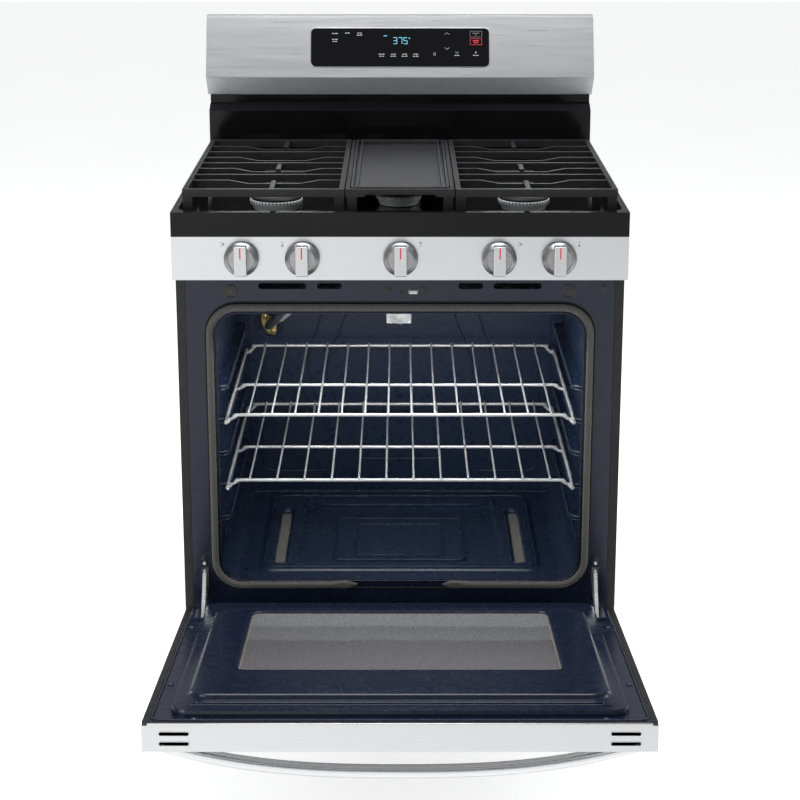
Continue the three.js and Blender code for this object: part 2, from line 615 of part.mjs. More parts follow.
// inner liner: flat flange, a raised sealing land and a higher window field
const land = [DOOR_INNER + LINER_SEAL, DOOR_INNER + LINER_RAISE];
const linerBlank = join([
  box(-DOOR_HALF + 1.5, DOOR_HALF - 1.5, linerBack + GAP, DOOR_INNER, DOOR_FOOT + 0.5, DOOR_HEAD - 0.5),
  slabXZ(roundedRect(-335, 335, 0, 566, 26), DOOR_INNER - 1, land[0], 4),
  slabXZ(roundedRect(-312, 312, 64, 520, 30), DOOR_INNER - 1, land[1], 4),
]);
piece('door_inner_panel', cut(linerBlank, [
  slabXZ(roundedRect(-332, 332, 3, 563, 23), linerBack - 5, land[0] - 2.5, 4),
  slabXZ(roundedRect(-309, 309, 67, 517, 27), linerBack - 5, land[1] - 2.5, 4),
  slabXZ(roundedRect(-252, 252, 86, 405, 12), linerBack, land[1] + 5, 4),
  ...pockets,
]), 'enamel', door);
piece('door_inner_glass', slabXZ(roundedRect(-266, 266, 74, 417, 10),
  land[1] - 7, land[1] - 2.5 - GAP, 3), 'glass', door);

// bowed handle, carried by its two ends
function handleShape() {
  const outer = [];
  const inner = [];
  for (let i = -12; i <= 12; i += 1) {
    const x = (i / 12) * 358;
    const d = 3 + 43 * (1 - Math.abs(i / 12) ** 2.6);
    outer.push([x, DOOR_OUTER - d]);
    inner.push([x, Math.min(DOOR_OUTER - GAP, DOOR_OUTER - d + 15)]);
  }
  return polygon([...outer, ...inner.reverse()]);
}
piece('door_handle', slabXY(handleShape(), 560, 586), 'steel', door);

// ---- storage drawer ----
piece('drawer_front', cut(box(-378, 378, DRAWER_FRONT, -50, DRAWER_BOTTOM, DRAWER_TOP), [
  box(-376, 376, DRAWER_FRONT + 2, -40, DRAWER_BOTTOM + 2, DRAWER_TOP - 2),
]), 'steel', body);
piece('drawer_box', cut(join([
  box(-DRAWER_HALF + 14, DRAWER_HALF - 14, -50 + GAP, DRAWER_BACK, 50, 130),
  box(-DRAWER_HALF - 12, DRAWER_HALF + 12, 44, DRAWER_BACK, 46 + GAP, 52),
]), [
  box(-DRAWER_HALF + 16, DRAWER_HALF - 16, -50 + GAP + 2, DRAWER_BACK - 2, 53, 140),
]), 'galvanised', body);

// origin at the middle of the overall box, on the floor
const reach = Math.sin(THREE.MathUtils.degToRad(DOOR_OPEN_DEG)) * DOOR_HEAD
  - Math.cos(THREE.MathUtils.degToRad(DOOR_OPEN_DEG)) * DOOR_OUTER;
const frontmost = PIVOT_Y - reach;
body.position.y = -(frontmost + OVERALL_BACK) / 2;

export default range;
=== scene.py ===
# Freestanding gas range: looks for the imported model, in metres.
import math

import bmesh
import bpy
from mathutils import Matrix, Vector


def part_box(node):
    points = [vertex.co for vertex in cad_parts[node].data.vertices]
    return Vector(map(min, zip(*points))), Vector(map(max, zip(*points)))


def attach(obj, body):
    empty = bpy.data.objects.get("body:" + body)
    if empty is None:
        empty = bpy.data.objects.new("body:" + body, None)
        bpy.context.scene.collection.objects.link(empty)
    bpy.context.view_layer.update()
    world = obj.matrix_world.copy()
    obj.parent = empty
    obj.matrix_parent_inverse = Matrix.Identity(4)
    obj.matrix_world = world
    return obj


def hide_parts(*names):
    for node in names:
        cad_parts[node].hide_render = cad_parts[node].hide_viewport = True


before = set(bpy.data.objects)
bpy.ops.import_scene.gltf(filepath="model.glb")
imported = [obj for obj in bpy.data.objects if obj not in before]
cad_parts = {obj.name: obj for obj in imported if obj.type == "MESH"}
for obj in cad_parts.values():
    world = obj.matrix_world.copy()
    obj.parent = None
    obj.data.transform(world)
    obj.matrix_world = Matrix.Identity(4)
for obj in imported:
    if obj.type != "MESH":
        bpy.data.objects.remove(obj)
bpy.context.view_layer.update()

MM = 0.001
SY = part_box("front_frame")[0][1]
DOOR_DEG = 83.0
DOOR_MAT = Matrix.Translation((0.0, SY - 0.050, 0.184)) @ Matrix.Rotation(math.radians(DOOR_DEG), 4,
    "X")


def P(x, y, z):
    """A point given in body millimetres, y = 0 at the oven's front frame."""
    return Vector((x * MM, SY + y * MM, z * MM))


# ---------------------------------------------------------------- materials
def new_material(name):
    m = bpy.data.materials.new(name)
    m.use_nodes = True
    nt = m.node_tree
    return m, nt, nt.nodes["Principled BSDF"]


def coords(nt, scale, kind="Object"):
    tc = nt.nodes.new("ShaderNodeTexCoord")
    mp = nt.nodes.new("ShaderNodeMapping")
    mp.inputs["Scale"].default_value = scale
    nt.links.new(tc.outputs[kind], mp.inputs["Vector"])
    return mp.outputs["Vector"]


def noise(nt, vector, scale, detail=3.0, rough=0.5):
    n = nt.nodes.new("ShaderNodeTexNoise")
    n.inputs["Scale"].default_value = scale
    n.inputs["Detail"].default_value = detail
    n.inputs["Roughness"].default_value = rough
    nt.links.new(vector, n.inputs["Vector"])
    return n.outputs["Fac"]


def ramp(nt, fac, stops):
    r = nt.nodes.new("ShaderNodeValToRGB")
    els = r.color_ramp.elements
    while len(els) < len(stops):
        els.new(0.5)
    for e, (pos, col) in zip(els, stops):
        e.position = pos
        e.color = (*col, 1.0)
    nt.links.new(fac, r.inputs["Fac"])
    return r.outputs["Color"]


def span(nt, fac, low, high, a=0.0, b=1.0):
    r = nt.nodes.new("ShaderNodeMapRange")
    r.inputs["From Min"].default_value = a
    r.inputs["From Max"].default_value = b
    r.inputs["To Min"].default_value = low
    r.inputs["To Max"].default_value = high
    nt.links.new(fac, r.inputs["Value"])
    return r.outputs["Result"]


def bump(nt, bsdf, height, strength, distance):
    b = nt.nodes.new("ShaderNodeBump")
    b.inputs["Strength"].default_value = strength
    b.inputs["Distance"].default_value = distance
    nt.links.new(height, b.inputs["Height"])
    nt.links.new(b.outputs["Normal"], bsdf.inputs["Normal"])


def brushed(name, dark, light, rough_low, rough_high, along="X"):
    m, nt, b = new_material(name)
    b.inputs["Metallic"].default_value = 1.0
    fine = {"X": (6, 900, 900), "Z": (900, 900, 6)}[along]
    v = coords(nt, fine)
    n = noise(nt, v, 1.0, 4.0, 0.6)
    big = noise(nt, coords(nt, (1.6, 5, 5)), 1.0, 2.0, 0.4)
    mix = nt.nodes.new("ShaderNodeMix")
    mix.inputs["Factor"].default_value = 0.35
    nt.links.new(n, mix.inputs["A"])
    nt.links.new(big, mix.inputs["B"])
    out = mix.outputs["Result"]
    nt.links.new(ramp(nt, out, [(0.25, dark), (0.75, light)]), b.inputs["Base Color"])
    nt.links.new(span(nt, n, rough_low, rough_high, 0.3, 0.7), b.inputs["Roughness"])
    bump(nt, b, n, 0.08, 0.0002)
    return m


def enamel(name, base, speck, speck_size, amount, rough):
    m, nt, b = new_material(name)
    v = coords(nt, (1, 1, 1))
    vor = nt.nodes.new("ShaderNodeTexVoronoi")
    vor.inputs["Scale"].default_value = speck_size
    vor.inputs["Randomness"].default_value = 1.0
    nt.links.new(v, vor.inputs["Vector"])
    dots = span(nt, vor.outputs["Distance"], 1.0, 0.0, 0.08, 0.30)
    fog = noise(nt, v, 260.0, 4.0, 0.7)
    few = span(nt, fog, 0.0, 1.0, 0.50, 0.62)
    mul = nt.nodes.new("ShaderNodeMath")
    mul.operation = "MULTIPLY"
    nt.links.new(dots, mul.inputs[0])
    nt.links.new(few, mul.inputs[1])
    mul2 = nt.nodes.new("ShaderNodeMath")
    mul2.operation = "MULTIPLY"
    mul2.inputs[1].default_value = amount
    nt.links.new(mul.outputs[0], mul2.inputs[0])
    nt.links.new(ramp(nt, mul2.outputs[0], [(0.0, base), (1.0, speck)]), b.inputs["Base Color"])
    wob = noise(nt, v, 55.0, 2.0, 0.4)
    nt.links.new(span(nt, wob, rough * 0.8, rough * 1.3, 0.3, 0.7), b.inputs["Roughness"])
    bump(nt, b, wob, 0.05, 0.0006)
    b.inputs["Coat Weight"].default_value = 0.05
    b.inputs["Coat Roughness"].default_value = 0.08
    return m


def coated(name, base, light, rough, grain, depth, metal=0.0, strength=0.3, coat=0.0):
    m, nt, b = new_material(name)
    b.inputs["Metallic"].default_value = metal
    v = coords(nt, (1, 1, 1))
    n = noise(nt, v, grain, 4.0, 0.6)
    big = noise(nt, v, grain / 14.0, 2.0, 0.5)
    nt.links.new(ramp(nt, big, [(0.3, base), (0.72, light)]), b.inputs["Base Color"])
    nt.links.new(span(nt, n, rough * 0.8, rough * 1.25, 0.3, 0.7), b.inputs["Roughness"])
    bump(nt, b, n, strength, depth)
    b.inputs["Coat Weight"].default_value = coat
    b.inputs["Coat Roughness"].default_value = 0.1
    return m


def flat_ink(name, colour, glow=0.0):
    m, nt, b = new_material(name)
    v = coords(nt, (1, 1, 1))
    n = noise(nt, v, 900.0, 2.0, 0.5)
    dim = tuple(c * 0.86 for c in colour)
    col = ramp(nt, n, [(0.3, dim), (0.7, colour)])
    nt.links.new(col, b.inputs["Base Color"])
    b.inputs["Roughness"].default_value = 0.5
    if glow:
        nt.links.new(col, b.inputs["Emission Color"])
        b.inputs["Emission Strength"].default_value = glow
    return m


def painted_reflection_glass():
    """Grey oven glass with painted reflections: three soft bands, lighter towards the hinge side, stand in
    for reflections of the panes behind.
    """
    m, nt, b = new_material("oven_glass")
    sep = nt.nodes.new("ShaderNodeSeparateXYZ")
    nt.links.new(coords(nt, (1, 1, 1)), sep.inputs[0])
    wave = noise(nt, coords(nt, (9, 3, 3)), 1.0, 2.0, 0.5)
    sway = span(nt, wave, -0.006, 0.006, 0.3, 0.7)
    add = nt.nodes.new("ShaderNodeMath")
    nt.links.new(sep.outputs["Y"], add.inputs[0])
    nt.links.new(sway, add.inputs[1])
    far = P(0, -136, 0).y
    near = P(0, -451, 0).y
    t = span(nt, add.outputs[0], 0.0, 1.0, far, near)
    stops = [(0.0, (0.185, 0.186, 0.196)), (0.21, (0.172, 0.173, 0.182)),
        (0.235, (0.118, 0.118, 0.125)),
        (0.45, (0.128, 0.128, 0.134)), (0.48, (0.088, 0.086, 0.092)), (1.0, (0.116, 0.112, 0.116))]
    nt.links.new(ramp(nt, t, stops), b.inputs["Base Color"])
    fine = noise(nt, coords(nt, (1, 1, 1)), 500.0, 3.0, 0.5)
    nt.links.new(span(nt, fine, 0.22, 0.32, 0.3, 0.7), b.inputs["Roughness"])
    return m


STEEL = brushed("steel_brushed", (0.500, 0.502, 0.508), (0.548, 0.550, 0.556), 0.27, 0.37)
# A matte, mostly non-metal copy of the steel for the fascia's downward fold, so the shaded face reads lit:
# painted light in place of the steel's reflection.
STEEL_FOLD_PAINTED_LIGHT = coated("steel_fold_painted_light", (0.44, 0.455, 0.475), (0.50, 0.51, 0.53), 0.5, 900.0, 0.0002,
    metal=0.15, strength=0.1)
KNOB_STEEL = brushed("knob_steel", (0.36, 0.36, 0.365), (0.56, 0.56, 0.565), 0.22, 0.36, "Z")
NAVY = enamel("navy_enamel", (0.0065, 0.0105, 0.0250), (0.22, 0.28, 0.42), 950.0, 0.38, 0.24)
NAVY_IN = enamel("navy_enamel_cavity", (0.0120, 0.0220, 0.0480), (0.22, 0.30, 0.46), 850.0, 0.45, 0.30)
BLACK = coated("black_porcelain", (0.0030, 0.0030, 0.0034), (0.0052, 0.0052, 0.0058), 0.12, 60.0,
    0.0004, strength=0.05)
PAINT = coated("black_paint", (0.006, 0.006, 0.007), (0.012, 0.012, 0.013), 0.42, 900.0, 0.0003,
    strength=0.25)
IRON = coated("cast_iron_enamel", (0.0090, 0.0090, 0.0098), (0.0150, 0.0150, 0.0162), 0.42, 1100.0,
    0.0003, strength=0.3)
IRON_SMOOTH = coated("griddle_coating", (0.0150, 0.0150, 0.0170), (0.0220, 0.0220, 0.0250), 0.36,
    800.0, 0.0002, strength=0.2)
CHROME = coated("chrome_plate", (0.56, 0.57, 0.58), (0.70, 0.71, 0.72), 0.24, 300.0, 0.0002,
    metal=0.40, strength=0.05)
ALU = coated("cast_aluminium", (0.80, 0.81, 0.82), (0.92, 0.93, 0.94), 0.24, 500.0, 0.0003, metal=0.25,
    strength=0.1)
ZINC = coated("zinc_sheet", (0.33, 0.34, 0.35), (0.40, 0.41, 0.42), 0.42, 420.0, 0.0003, metal=0.9,
    strength=0.1)
BRASS = coated("brass_dull", (0.40, 0.33, 0.11), (0.55, 0.46, 0.18), 0.32, 300.0, 0.0003, metal=1.0,
    strength=0.1)
COPPER = coated("spud_brown", (0.16, 0.05, 0.03), (0.24, 0.08, 0.04), 0.45, 300.0, 0.0003, strength=0.1)
PLASTIC = coated("black_plastic", (0.008, 0.008, 0.009), (0.014, 0.014, 0.015), 0.5, 900.0, 0.0003,
    strength=0.3)
BLACK_GLASS = coated("black_glass", (0.0020, 0.0020, 0.0024), (0.0030, 0.0030, 0.0036), 0.05, 8.0,
    0.0001, strength=0.02)
OVEN_GLASS_PAINTED_REFLECTION = painted_reflection_glass()
CERAMIC = coated("igniter_ceramic", (0.105, 0.108, 0.110), (0.215, 0.220, 0.222), 0.5, 1300.0, 0.0003,
    strength=0.2)
# Near-black for painted shade: gaps, channels, port openings, louvre openings and the shadow under the
# door's head lip.
DARK = coated("painted_shade_black", (0.002, 0.002, 0.002), (0.004, 0.004, 0.004), 0.8, 300.0, 0.0002,
    strength=0.05)
INK_WHITE = flat_ink("ink_white", (0.36, 0.37, 0.39), 0.12)
INK_GREY = flat_ink("ink_grey", (0.14, 0.14, 0.15))
INK_CYAN = flat_ink("ink_cyan", (0.12, 0.50, 0.66), 0.9)
INK_RED = flat_ink("ink_red", (0.55, 0.02, 0.03), 0.1)


def braid_material():
    m, nt, b = new_material("braided_seal")
    v = coords(nt, (1, 1, 1))
    n = noise(nt, v, 700.0, 5.0, 0.7)
    nt.links.new(ramp(nt, n, [(0.3, (0.026, 0.026, 0.024)), (0.7, (0.088, 0.086, 0.080))]),
        b.inputs["Base Color"])
    nt.links.new(span(nt, n, 0.65, 0.95, 0.3, 0.7), b.inputs["Roughness"])
    bump(nt, b, n, 0.6, 0.0006)
    b.inputs["Sheen Weight"].default_value = 0.2
    return m


BRAID = braid_material()
RING_STEEL = brushed("knob_ring_steel", (0.22, 0.22, 0.23), (0.38, 0.38, 0.39), 0.34, 0.44)
KNOB_FACE = brushed("knob_face_steel", (0.44, 0.44, 0.445), (0.53, 0.53, 0.535), 0.30, 0.42, "Z")
# A lighter, glossier copy of the cavity enamel for pressed ribs, guides, creases, rivet, screws and pocket
# edges, so they read as highlight lines: painted highlight.
NAVY_RIB_HIGHLIGHT = enamel("navy_enamel_rib_painted_highlight", (0.0180, 0.0280, 0.0540), (0.22, 0.30, 0.46), 900.0, 0.40, 0.16)
# Pale grey for the two floor slots: painted light standing in for the lit sloping wall of each slot.
SLOT_PAINTED_LIGHT = coated("slot_painted_light_grey", (0.150, 0.145, 0.130), (0.190, 0.184, 0.165), 0.5, 500.0, 0.0002,
    strength=0.1)
BRASS_DARK = coated("brass_screw", (0.20, 0.16, 0.06), (0.40, 0.34, 0.15), 0.35, 300.0, 0.0003,
    metal=1.0, strength=0.1)
GLASS_EDGE = coated("glass_edge", (0.16, 0.155, 0.13), (0.20, 0.19, 0.16), 0.3, 200.0, 0.0002,
    strength=0.05)
HANDLE_STEEL = brushed("handle_steel", (0.50, 0.505, 0.51), (0.60, 0.605, 0.61), 0.20, 0.32)


def set_socket(material, socket, value):
    material.node_tree.nodes["Principled BSDF"].inputs[socket].default_value = value


for dull in (IRON, IRON_SMOOTH, BLACK_GLASS, PAINT, NAVY, NAVY_IN, NAVY_RIB_HIGHLIGHT):
    set_socket(dull, "Specular IOR Level", 0.3)
set_socket(BLACK, "Specular IOR Level", 0.16)


# ---------------------------------------------------------------- mesh tools
def finish_mesh(obj, mat, body, angle=35.0):
    obj.data.materials.clear()
    obj.data.materials.append(mat)
    obj.data.shade_smooth()
    obj.data.set_sharp_from_angle(angle=math.radians(angle))
    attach(obj, body)
    return obj


def link(name, mesh):
    obj = bpy.data.objects.new(name, mesh)
    bpy.context.scene.collection.objects.link(obj)
    return obj


def from_bmesh(name, bm, matrix=None):
    if matrix is not None:
        bm.transform(matrix)
    bmesh.ops.recalc_face_normals(bm, faces=bm.faces)
    me = bpy.data.meshes.new(name)
    bm.to_mesh(me)
    bm.free()
    return link(name, me)


def bevel(obj, width, segments=2, angle=30.0):
    m = obj.modifiers.new("edge", "BEVEL")
    m.width = width
    m.segments = segments
    m.limit_method = "ANGLE"
    m.angle_limit = math.radians(angle)
    m.harden_normals = False
    return m


def add_box(bm, x0, x1, y0, y1, z0, z1):
    vs = [bm.verts.new((x, y, z)) for x in (x0, x1) for y in (y0, y1) for z in (z0, z1)]
    for q in ((0, 1, 3, 2), (4, 6, 7, 5), (0, 4, 5, 1), (2, 3, 7, 6), (0, 2, 6, 4), (1, 5, 7, 3)):
        bm.faces.new([vs[i] for i in q])


def boxes(name, items, mat, body, edge=0.8, matrix=None, segments=2):
    """Bevelled blocks given in body millimetres (or door millimetres with matrix=DOOR_MAT)."""
    bm = bmesh.new()
    for b in items:
        add_box(bm, *[v * MM for v in b])
    if matrix is None:
        bm.transform(Matrix.Translation((0, SY, 0)))
    obj = from_bmesh(name, bm, matrix)
    if edge:
        bevel(obj, edge * MM, segments)
    return finish_mesh(obj, mat, body)


def prism(name, outline, plane, a, b, mat, body, edge=0.8, matrix=None, segments=2,
        angle=35.0):
    """An outline (body millimetres) in XZ, XY or YZ made solid from a to b along the third axis."""
    bm = bmesh.new()

    def at(u, v, w):
        return {"XZ": (u, w, v), "XY": (u, v, w), "YZ": (w, u, v)}[plane]

    lower = [bm.verts.new(Vector(at(u, v, a)) * MM) for u, v in outline]
    upper = [bm.verts.new(Vector(at(u, v, b)) * MM) for u, v in outline]
    n = len(outline)
    bm.faces.new(lower)
    bm.faces.new(list(reversed(upper)))
    for i in range(n):
        j = (i + 1) % n
        bm.faces.new([lower[j], lower[i], upper[i], upper[j]])
    if matrix is None:
        bm.transform(Matrix.Translation((0, SY, 0)))
    obj = from_bmesh(name, bm, matrix)
    if edge:
        bevel(obj, edge * MM, segments)
    return finish_mesh(obj, mat, body, angle)


def rrect(x0, x1, z0, z1, r, n=6):
    pts = []
    for cx, cz, a in ((x1 - r, z0 + r, -90), (x1 - r, z1 - r, 0), (x0 + r, z1 - r, 90),
            (x0 + r, z0 + r, 180)):
        for k in range(n + 1):
            t = math.radians(a + 90.0 * k / n)
            pts.append((cx + r * math.cos(t), cz + r * math.sin(t)))
    return pts


def add_lathe(bm, profile, centre, to_axis, seg=64):
    """A closed body of revolution; profile is (radius, height) in millimetres from the axis back to it."""
    rot = Vector((0, 0, 1)).rotation_difference(Vector(to_axis)).to_matrix()
    rings = []
    for r, h in profile:
        if r < 1e-6:
            rings.append([bm.verts.new(centre + rot @ Vector((0, 0, h * MM)))])
        else:
            rings.append([
                bm.verts.new(centre + rot @ Vector((r * MM * math.cos(2 * math.pi * k / seg),
                    r * MM * math.sin(2 * math.pi * k / seg), h * MM)))
                for k in range(seg)
            ])
    for a, b in zip(rings, rings[1:]):
        if len(a) == 1 and len(b) == 1:
            continue
        for k in range(seg):
            j = (k + 1) % seg
            if len(a) == 1:
                bm.faces.new([a[0], b[k], b[j]])
            elif len(b) == 1:
                bm.faces.new([a[k], a[j], b[0]])
            else:
                bm.faces.new([a[k], a[j], b[j], b[k]])


def lathe(name, profile, centre, axis, mat, body, seg=64, angle=35.0, matrix=None):
    bm = bmesh.new()
    add_lathe(bm, profile, centre, axis, seg)
    return finish_mesh(from_bmesh(name, bm, matrix), mat, body, angle)


def smooth_path(points, per=6):
    """A Catmull-Rom curve through the points."""
    pts = [Vector(p) for p in points]
    ext = [pts[0] * 2 - pts[1], *pts, pts[-1] * 2 - pts[-2]]
    out = []
    for i in range(1, len(ext) - 2):
        p0, p1, p2, p3 = ext[i - 1:i + 3]
        for k in range(per):
            t = k / per
            out.append(0.5 * (
                (2 * p1) + (p2 - p0) * t + (2 * p0 - 5 * p1 + 4 * p2 - p3) * t * t
                + (3 * p1 - p0 - 3 * p2 + p3) * t ** 3
            ))
    out.append(pts[-1])
    return out


def add_tube(bm, path, radius, seg=10, closed=False):
    """A section carried along the path; radius is a number or a function of (index, angle)."""
    n = len(path)
    tangents = []
    for i in range(n):
        a = path[(i - 1) % n] if closed else path[max(i - 1, 0)]
        b = path[(i + 1) % n] if closed else path[min(i + 1, n - 1)]
        tangents.append((b - a).normalized())
    up = Vector((0, 0, 1)) if abs(tangents[0].z) < 0.9 else Vector((1, 0, 0))
    side = tangents[0].cross(up).normalized()
    rings = []
    for i in range(n):
        t = tangents[i]
        side = (side - t * side.dot(t)).normalized()
        other = t.cross(side)
        ring = []
        for k in range(seg):
            a = 2 * math.pi * k / seg
            r = radius(i, a) if callable(radius) else radius
            ring.append(bm.verts.new(path[i] + side * (r * math.cos(a)) + other * (r * math.sin(a))))
        rings.append(ring)
    count = n if closed else n - 1
    for i in range(count):
        a, b = rings[i], rings[(i + 1) % n]
        for k in range(seg):
            j = (k + 1) % seg
            bm.faces.new([a[k], a[j], b[j], b[k]])
    if not closed:
        bm.faces.new(list(reversed(rings[0])))
        bm.faces.new(rings[-1])


def tubes(name, paths, radius, mat, body, seg=10, matrix=None, angle=50.0):
    bm = bmesh.new()
    for path in paths:
        add_tube(bm, path, radius, seg)
    return finish_mesh(from_bmesh(name, bm, matrix), mat, body, angle)


def paint(node, mat, edge=0.0, segments=2):
    obj = bpy.data.objects[node]
    if not obj.material_slots:
        obj.data.materials.append(mat)
    for s in obj.material_slots:
        s.link = "OBJECT"
        s.material = mat
    if edge:
        bevel(obj, edge * MM, segments, 40.0)
    return obj


# ---------------------------------------------------------------- camera, light, floor
PITCH = math.radians(15.0)
cam_data = bpy.data.cameras.new("camera")
cam_data.lens = 86.5
cam_data.sensor_width = 36.0
cam_data.shift_y = -0.08
camera = bpy.data.objects.new("camera", cam_data)
bpy.context.scene.collection.objects.link(camera)
camera.location = P(0, -3176, 1542)
camera.rotation_euler = (math.pi / 2 - PITCH, 0, 0)
cam_data.clip_end = 60
bpy.context.scene.camera = camera

SKY_LIGHT = 0.30
BACKDROP = 1.05
world = bpy.data.worlds.new("studio")
world.use_nodes = True
bpy.context.scene.world = world


def studio_sky(nt):
    """Plain white behind the object, with a dimmer soft light from all round."""
    back = nt.nodes["Background"]
    back.inputs["Color"].default_value = (0.95, 0.96, 0.98, 1)
    back.inputs["Strength"].default_value = SKY_LIGHT
    white = nt.nodes.new("ShaderNodeBackground")
    white.inputs["Color"].default_value = (1, 1, 1, 1)
    white.inputs["Strength"].default_value = BACKDROP
    path = nt.nodes.new("ShaderNodeLightPath")
    mix = nt.nodes.new("ShaderNodeMixShader")
    nt.links.new(path.outputs["Is Camera Ray"], mix.inputs["Fac"])
    nt.links.new(back.outputs[0], mix.inputs[1])
    nt.links.new(white.outputs[0], mix.inputs[2])
    nt.links.new(mix.outputs[0], nt.nodes["World Output"].inputs["Surface"])


studio_sky(world.node_tree)
bpy.context.scene.view_settings.view_transform = "Standard"


def area(name, spot, aim, size, size_y, power):
    d = bpy.data.lights.new(name, "AREA")
    d.shape = "RECTANGLE"
    d.size, d.size_y, d.energy = size, size_y, power
    o = bpy.data.objects.new(name, d)
    bpy.context.scene.collection.objects.link(o)
    o.location = spot
    o.rotation_euler = (Vector(aim) - Vector(spot)).to_track_quat("-Z", "Y").to_euler()


area("key_left", (-3.0, -3.0, 1.7), (0, 0, 0.7), 2.2, 2.2, 54)
area("front_card", (-1.7, -4.7, 1.1), (-0.1, 0, 0.6), 3.6, 2.4, 26)
area("cavity_fill", P(0, 36, 722), P(0, 300, 240), 0.5, 0.1, 2.4)
area("top_soft", (0.0, -0.1, 3.4), (0, -0.1, 0.9), 2.4, 1.8, 105)
area("rim_right", (2.8, 0.6, 1.9), (0, 0, 0.7), 0.8, 1.8, 22)

floor_bm = bmesh.new()
for x, y in ((-14, -14), (14, -14), (14, 14), (-14, 14)):
    floor_bm.verts.new((x, y, -0.0005))
floor_bm.faces.new(floor_bm.verts)
floor = from_bmesh("floor", floor_bm)
PALE = coated("pale_floor", (0.80, 0.80, 0.80), (0.84, 0.84, 0.84), 0.75, 30.0, 0.0002, strength=0.02)
set_socket(PALE, "Emission Color", (1, 1, 1, 1))
set_socket(PALE, "Emission Strength", 0.68)
floor.data.materials.append(PALE)

# ---------------------------------------------------------------- CAD pieces kept as they are
for node in ("left_side_panel", "right_side_panel"):
    paint(node, PAINT)
for node in ("back_panel", "base_frame", "backguard_rear_cover", "drawer_box", "door_latch",
        "gas_manifold", "bake_burner"):
    paint(node, ZINC)
for where in ("front_left", "front_right", "rear_left", "rear_right"):
    paint(f"levelling_foot_{where}", PLASTIC)
paint("cooktop", BLACK, 1.6, 3)
paint("backsplash", BLACK)
for node in ("control_panel", "backguard_fascia", "door_shell", "drawer_front"):
    paint(node, STEEL, 0.9)
for node in ("oven_cavity", "oven_back_wall", "oven_floor_panel"):
    paint(node, NAVY_IN)
for node in ("front_frame", "door_inner_panel"):
    paint(node, NAVY)
for node in ("display_glass", "door_outer_glass"):
    paint(node, BLACK_GLASS)
paint("door_inner_glass", OVEN_GLASS_PAINTED_REFLECTION)
paint("door_gasket", BRAID)
paint("broil_burner", ZINC)
paint("broil_burner_flange", BRASS)
paint("temperature_sensor", CHROME)
for side in ("left", "right"):
    paint(f"hinge_arm_{side}", CHROME)
    paint(f"grate_{side}", IRON, 1.2)
paint("grate_centre", IRON, 1.2)
paint("griddle", IRON_SMOOTH, 1.0)
paint("door_handle", STEEL)
for n in range(1, 6):
    paint(f"valve_stem_{n}", BRASS)
    paint(f"knob_{n}", KNOB_STEEL)
for where in ("left_front", "left_rear", "centre", "right_rear", "right_front"):
    paint(f"burner_head_{where}", ALU)
    paint(f"burner_cap_{where}", IRON)
for node in ("rack_upper", "rack_lower"):
    paint(node, CHROME)

# ---------------------------------------------------------------- knobs
PANEL_Y = -50.0
KNOBS = [
    ((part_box(f"knob_{n}")[0][0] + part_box(f"knob_{n}")[1][0]) / 2 / MM, f"knob_body_{n}")
    for n in range(1, 6)
]
KNOB_Z = (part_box("knob_1")[0][2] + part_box("knob_1")[1][2]) / 2 / MM
KNOB_Y = (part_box("knob_1")[1][1] - SY) / MM
for n, (x, body) in enumerate(KNOBS, 1):
    ring = lathe(
        f"knob_ring_{n}",
        [(0, 0), (28.3, 0), (28.9, 0.7), (29, 5), (28.6, 7), (22.6, 15.0), (21.9, 15.5), (21.2, 15.3),
            (20.8, 14.6), (20.6, 14.2), (0, 14.2)],
        P(x, KNOB_Y, KNOB_Z), (0, -1, 0), RING_STEEL, body, seg=96, angle=25,
    )
    prism(
        f"knob_grip_{n}", [(x + a, KNOB_Z + b) for a, b in rrect(-10.2, 10.2, -24.5, 25.5, 2.2, 4)],
        "XZ", KNOB_Y - 27.6, KNOB_Y - 9, KNOB_FACE, body, edge=1.1, segments=3,
    )
    # Red line on each knob; its ink glows faintly though the knob is no lamp: painted light.
    boxes(f"knob_mark_{n}", [(x - 1.1, x + 1.1, KNOB_Y - 27.95, KNOB_Y - 27.3, KNOB_Z + 5,
        KNOB_Z + 24)], INK_RED, body, edge=0.2)
    # A near-black ring on the panel round each knob: painted shade in the gap behind the knob.
    lathe(f"knob_painted_shade_ring_{n}", [(7.5, 0), (27, 0), (27, 0.4), (7.5, 0.4), (7.5, 0)],
        P(x, PANEL_Y, KNOB_Z), (0, -1, 0), DARK, "casing", seg=48)
    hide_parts(f"knob_{n}")

# small burner icons by each knob: a ring and a dot
for n, (x, _) in enumerate(KNOBS, 1):
    ix = x - 33 if n <= 2 else x + 33
    bm = bmesh.new()
    for k, (dx, dz) in enumerate(((0, 4.2), (0, -0.8), (3.4, 1.7))):
        full = (n + k) % 3 == 0
        c = P(ix + dx, PANEL_Y, KNOB_Z + 22 + dz)
        if full:
            add_lathe(bm, [(0, 0), (1.7, 0), (1.7, 0.15), (0, 0.15)], c, (0, -1, 0), 20)
        elif k < 2:
            loop = [c + Vector((1.5 * MM * math.cos(t), -0.08 * MM,
                1.5 * MM * math.sin(t))) for t in [2 * math.pi * q / 20 for q in range(20)]]
            add_tube(bm, loop, 0.25 * MM, 5, closed=True)
    finish_mesh(from_bmesh(f"burner_icon_{n}", bm), INK_GREY, "casing")

# ---------------------------------------------------------------- display marks
TILT = math.atan2(646 - 598.5, 1168 - 1056)
FACE = Matrix.Translation(P(0, 598.5, 1056)) @ Matrix.Rotation(-TILT, 4, "X")


def face_boxes(name, items, mat):
    """Thin marks on the display glass, given as (x0, x1, w0, w1) in face millimetres."""
    bm = bmesh.new()
    for x0, x1, w0, w1 in items:
        add_box(bm, x0 * MM, x1 * MM, -2.62 * MM, -2.41 * MM, w0 * MM, w1 * MM)
    return finish_mesh(from_bmesh(name, bm, FACE), mat, "casing")


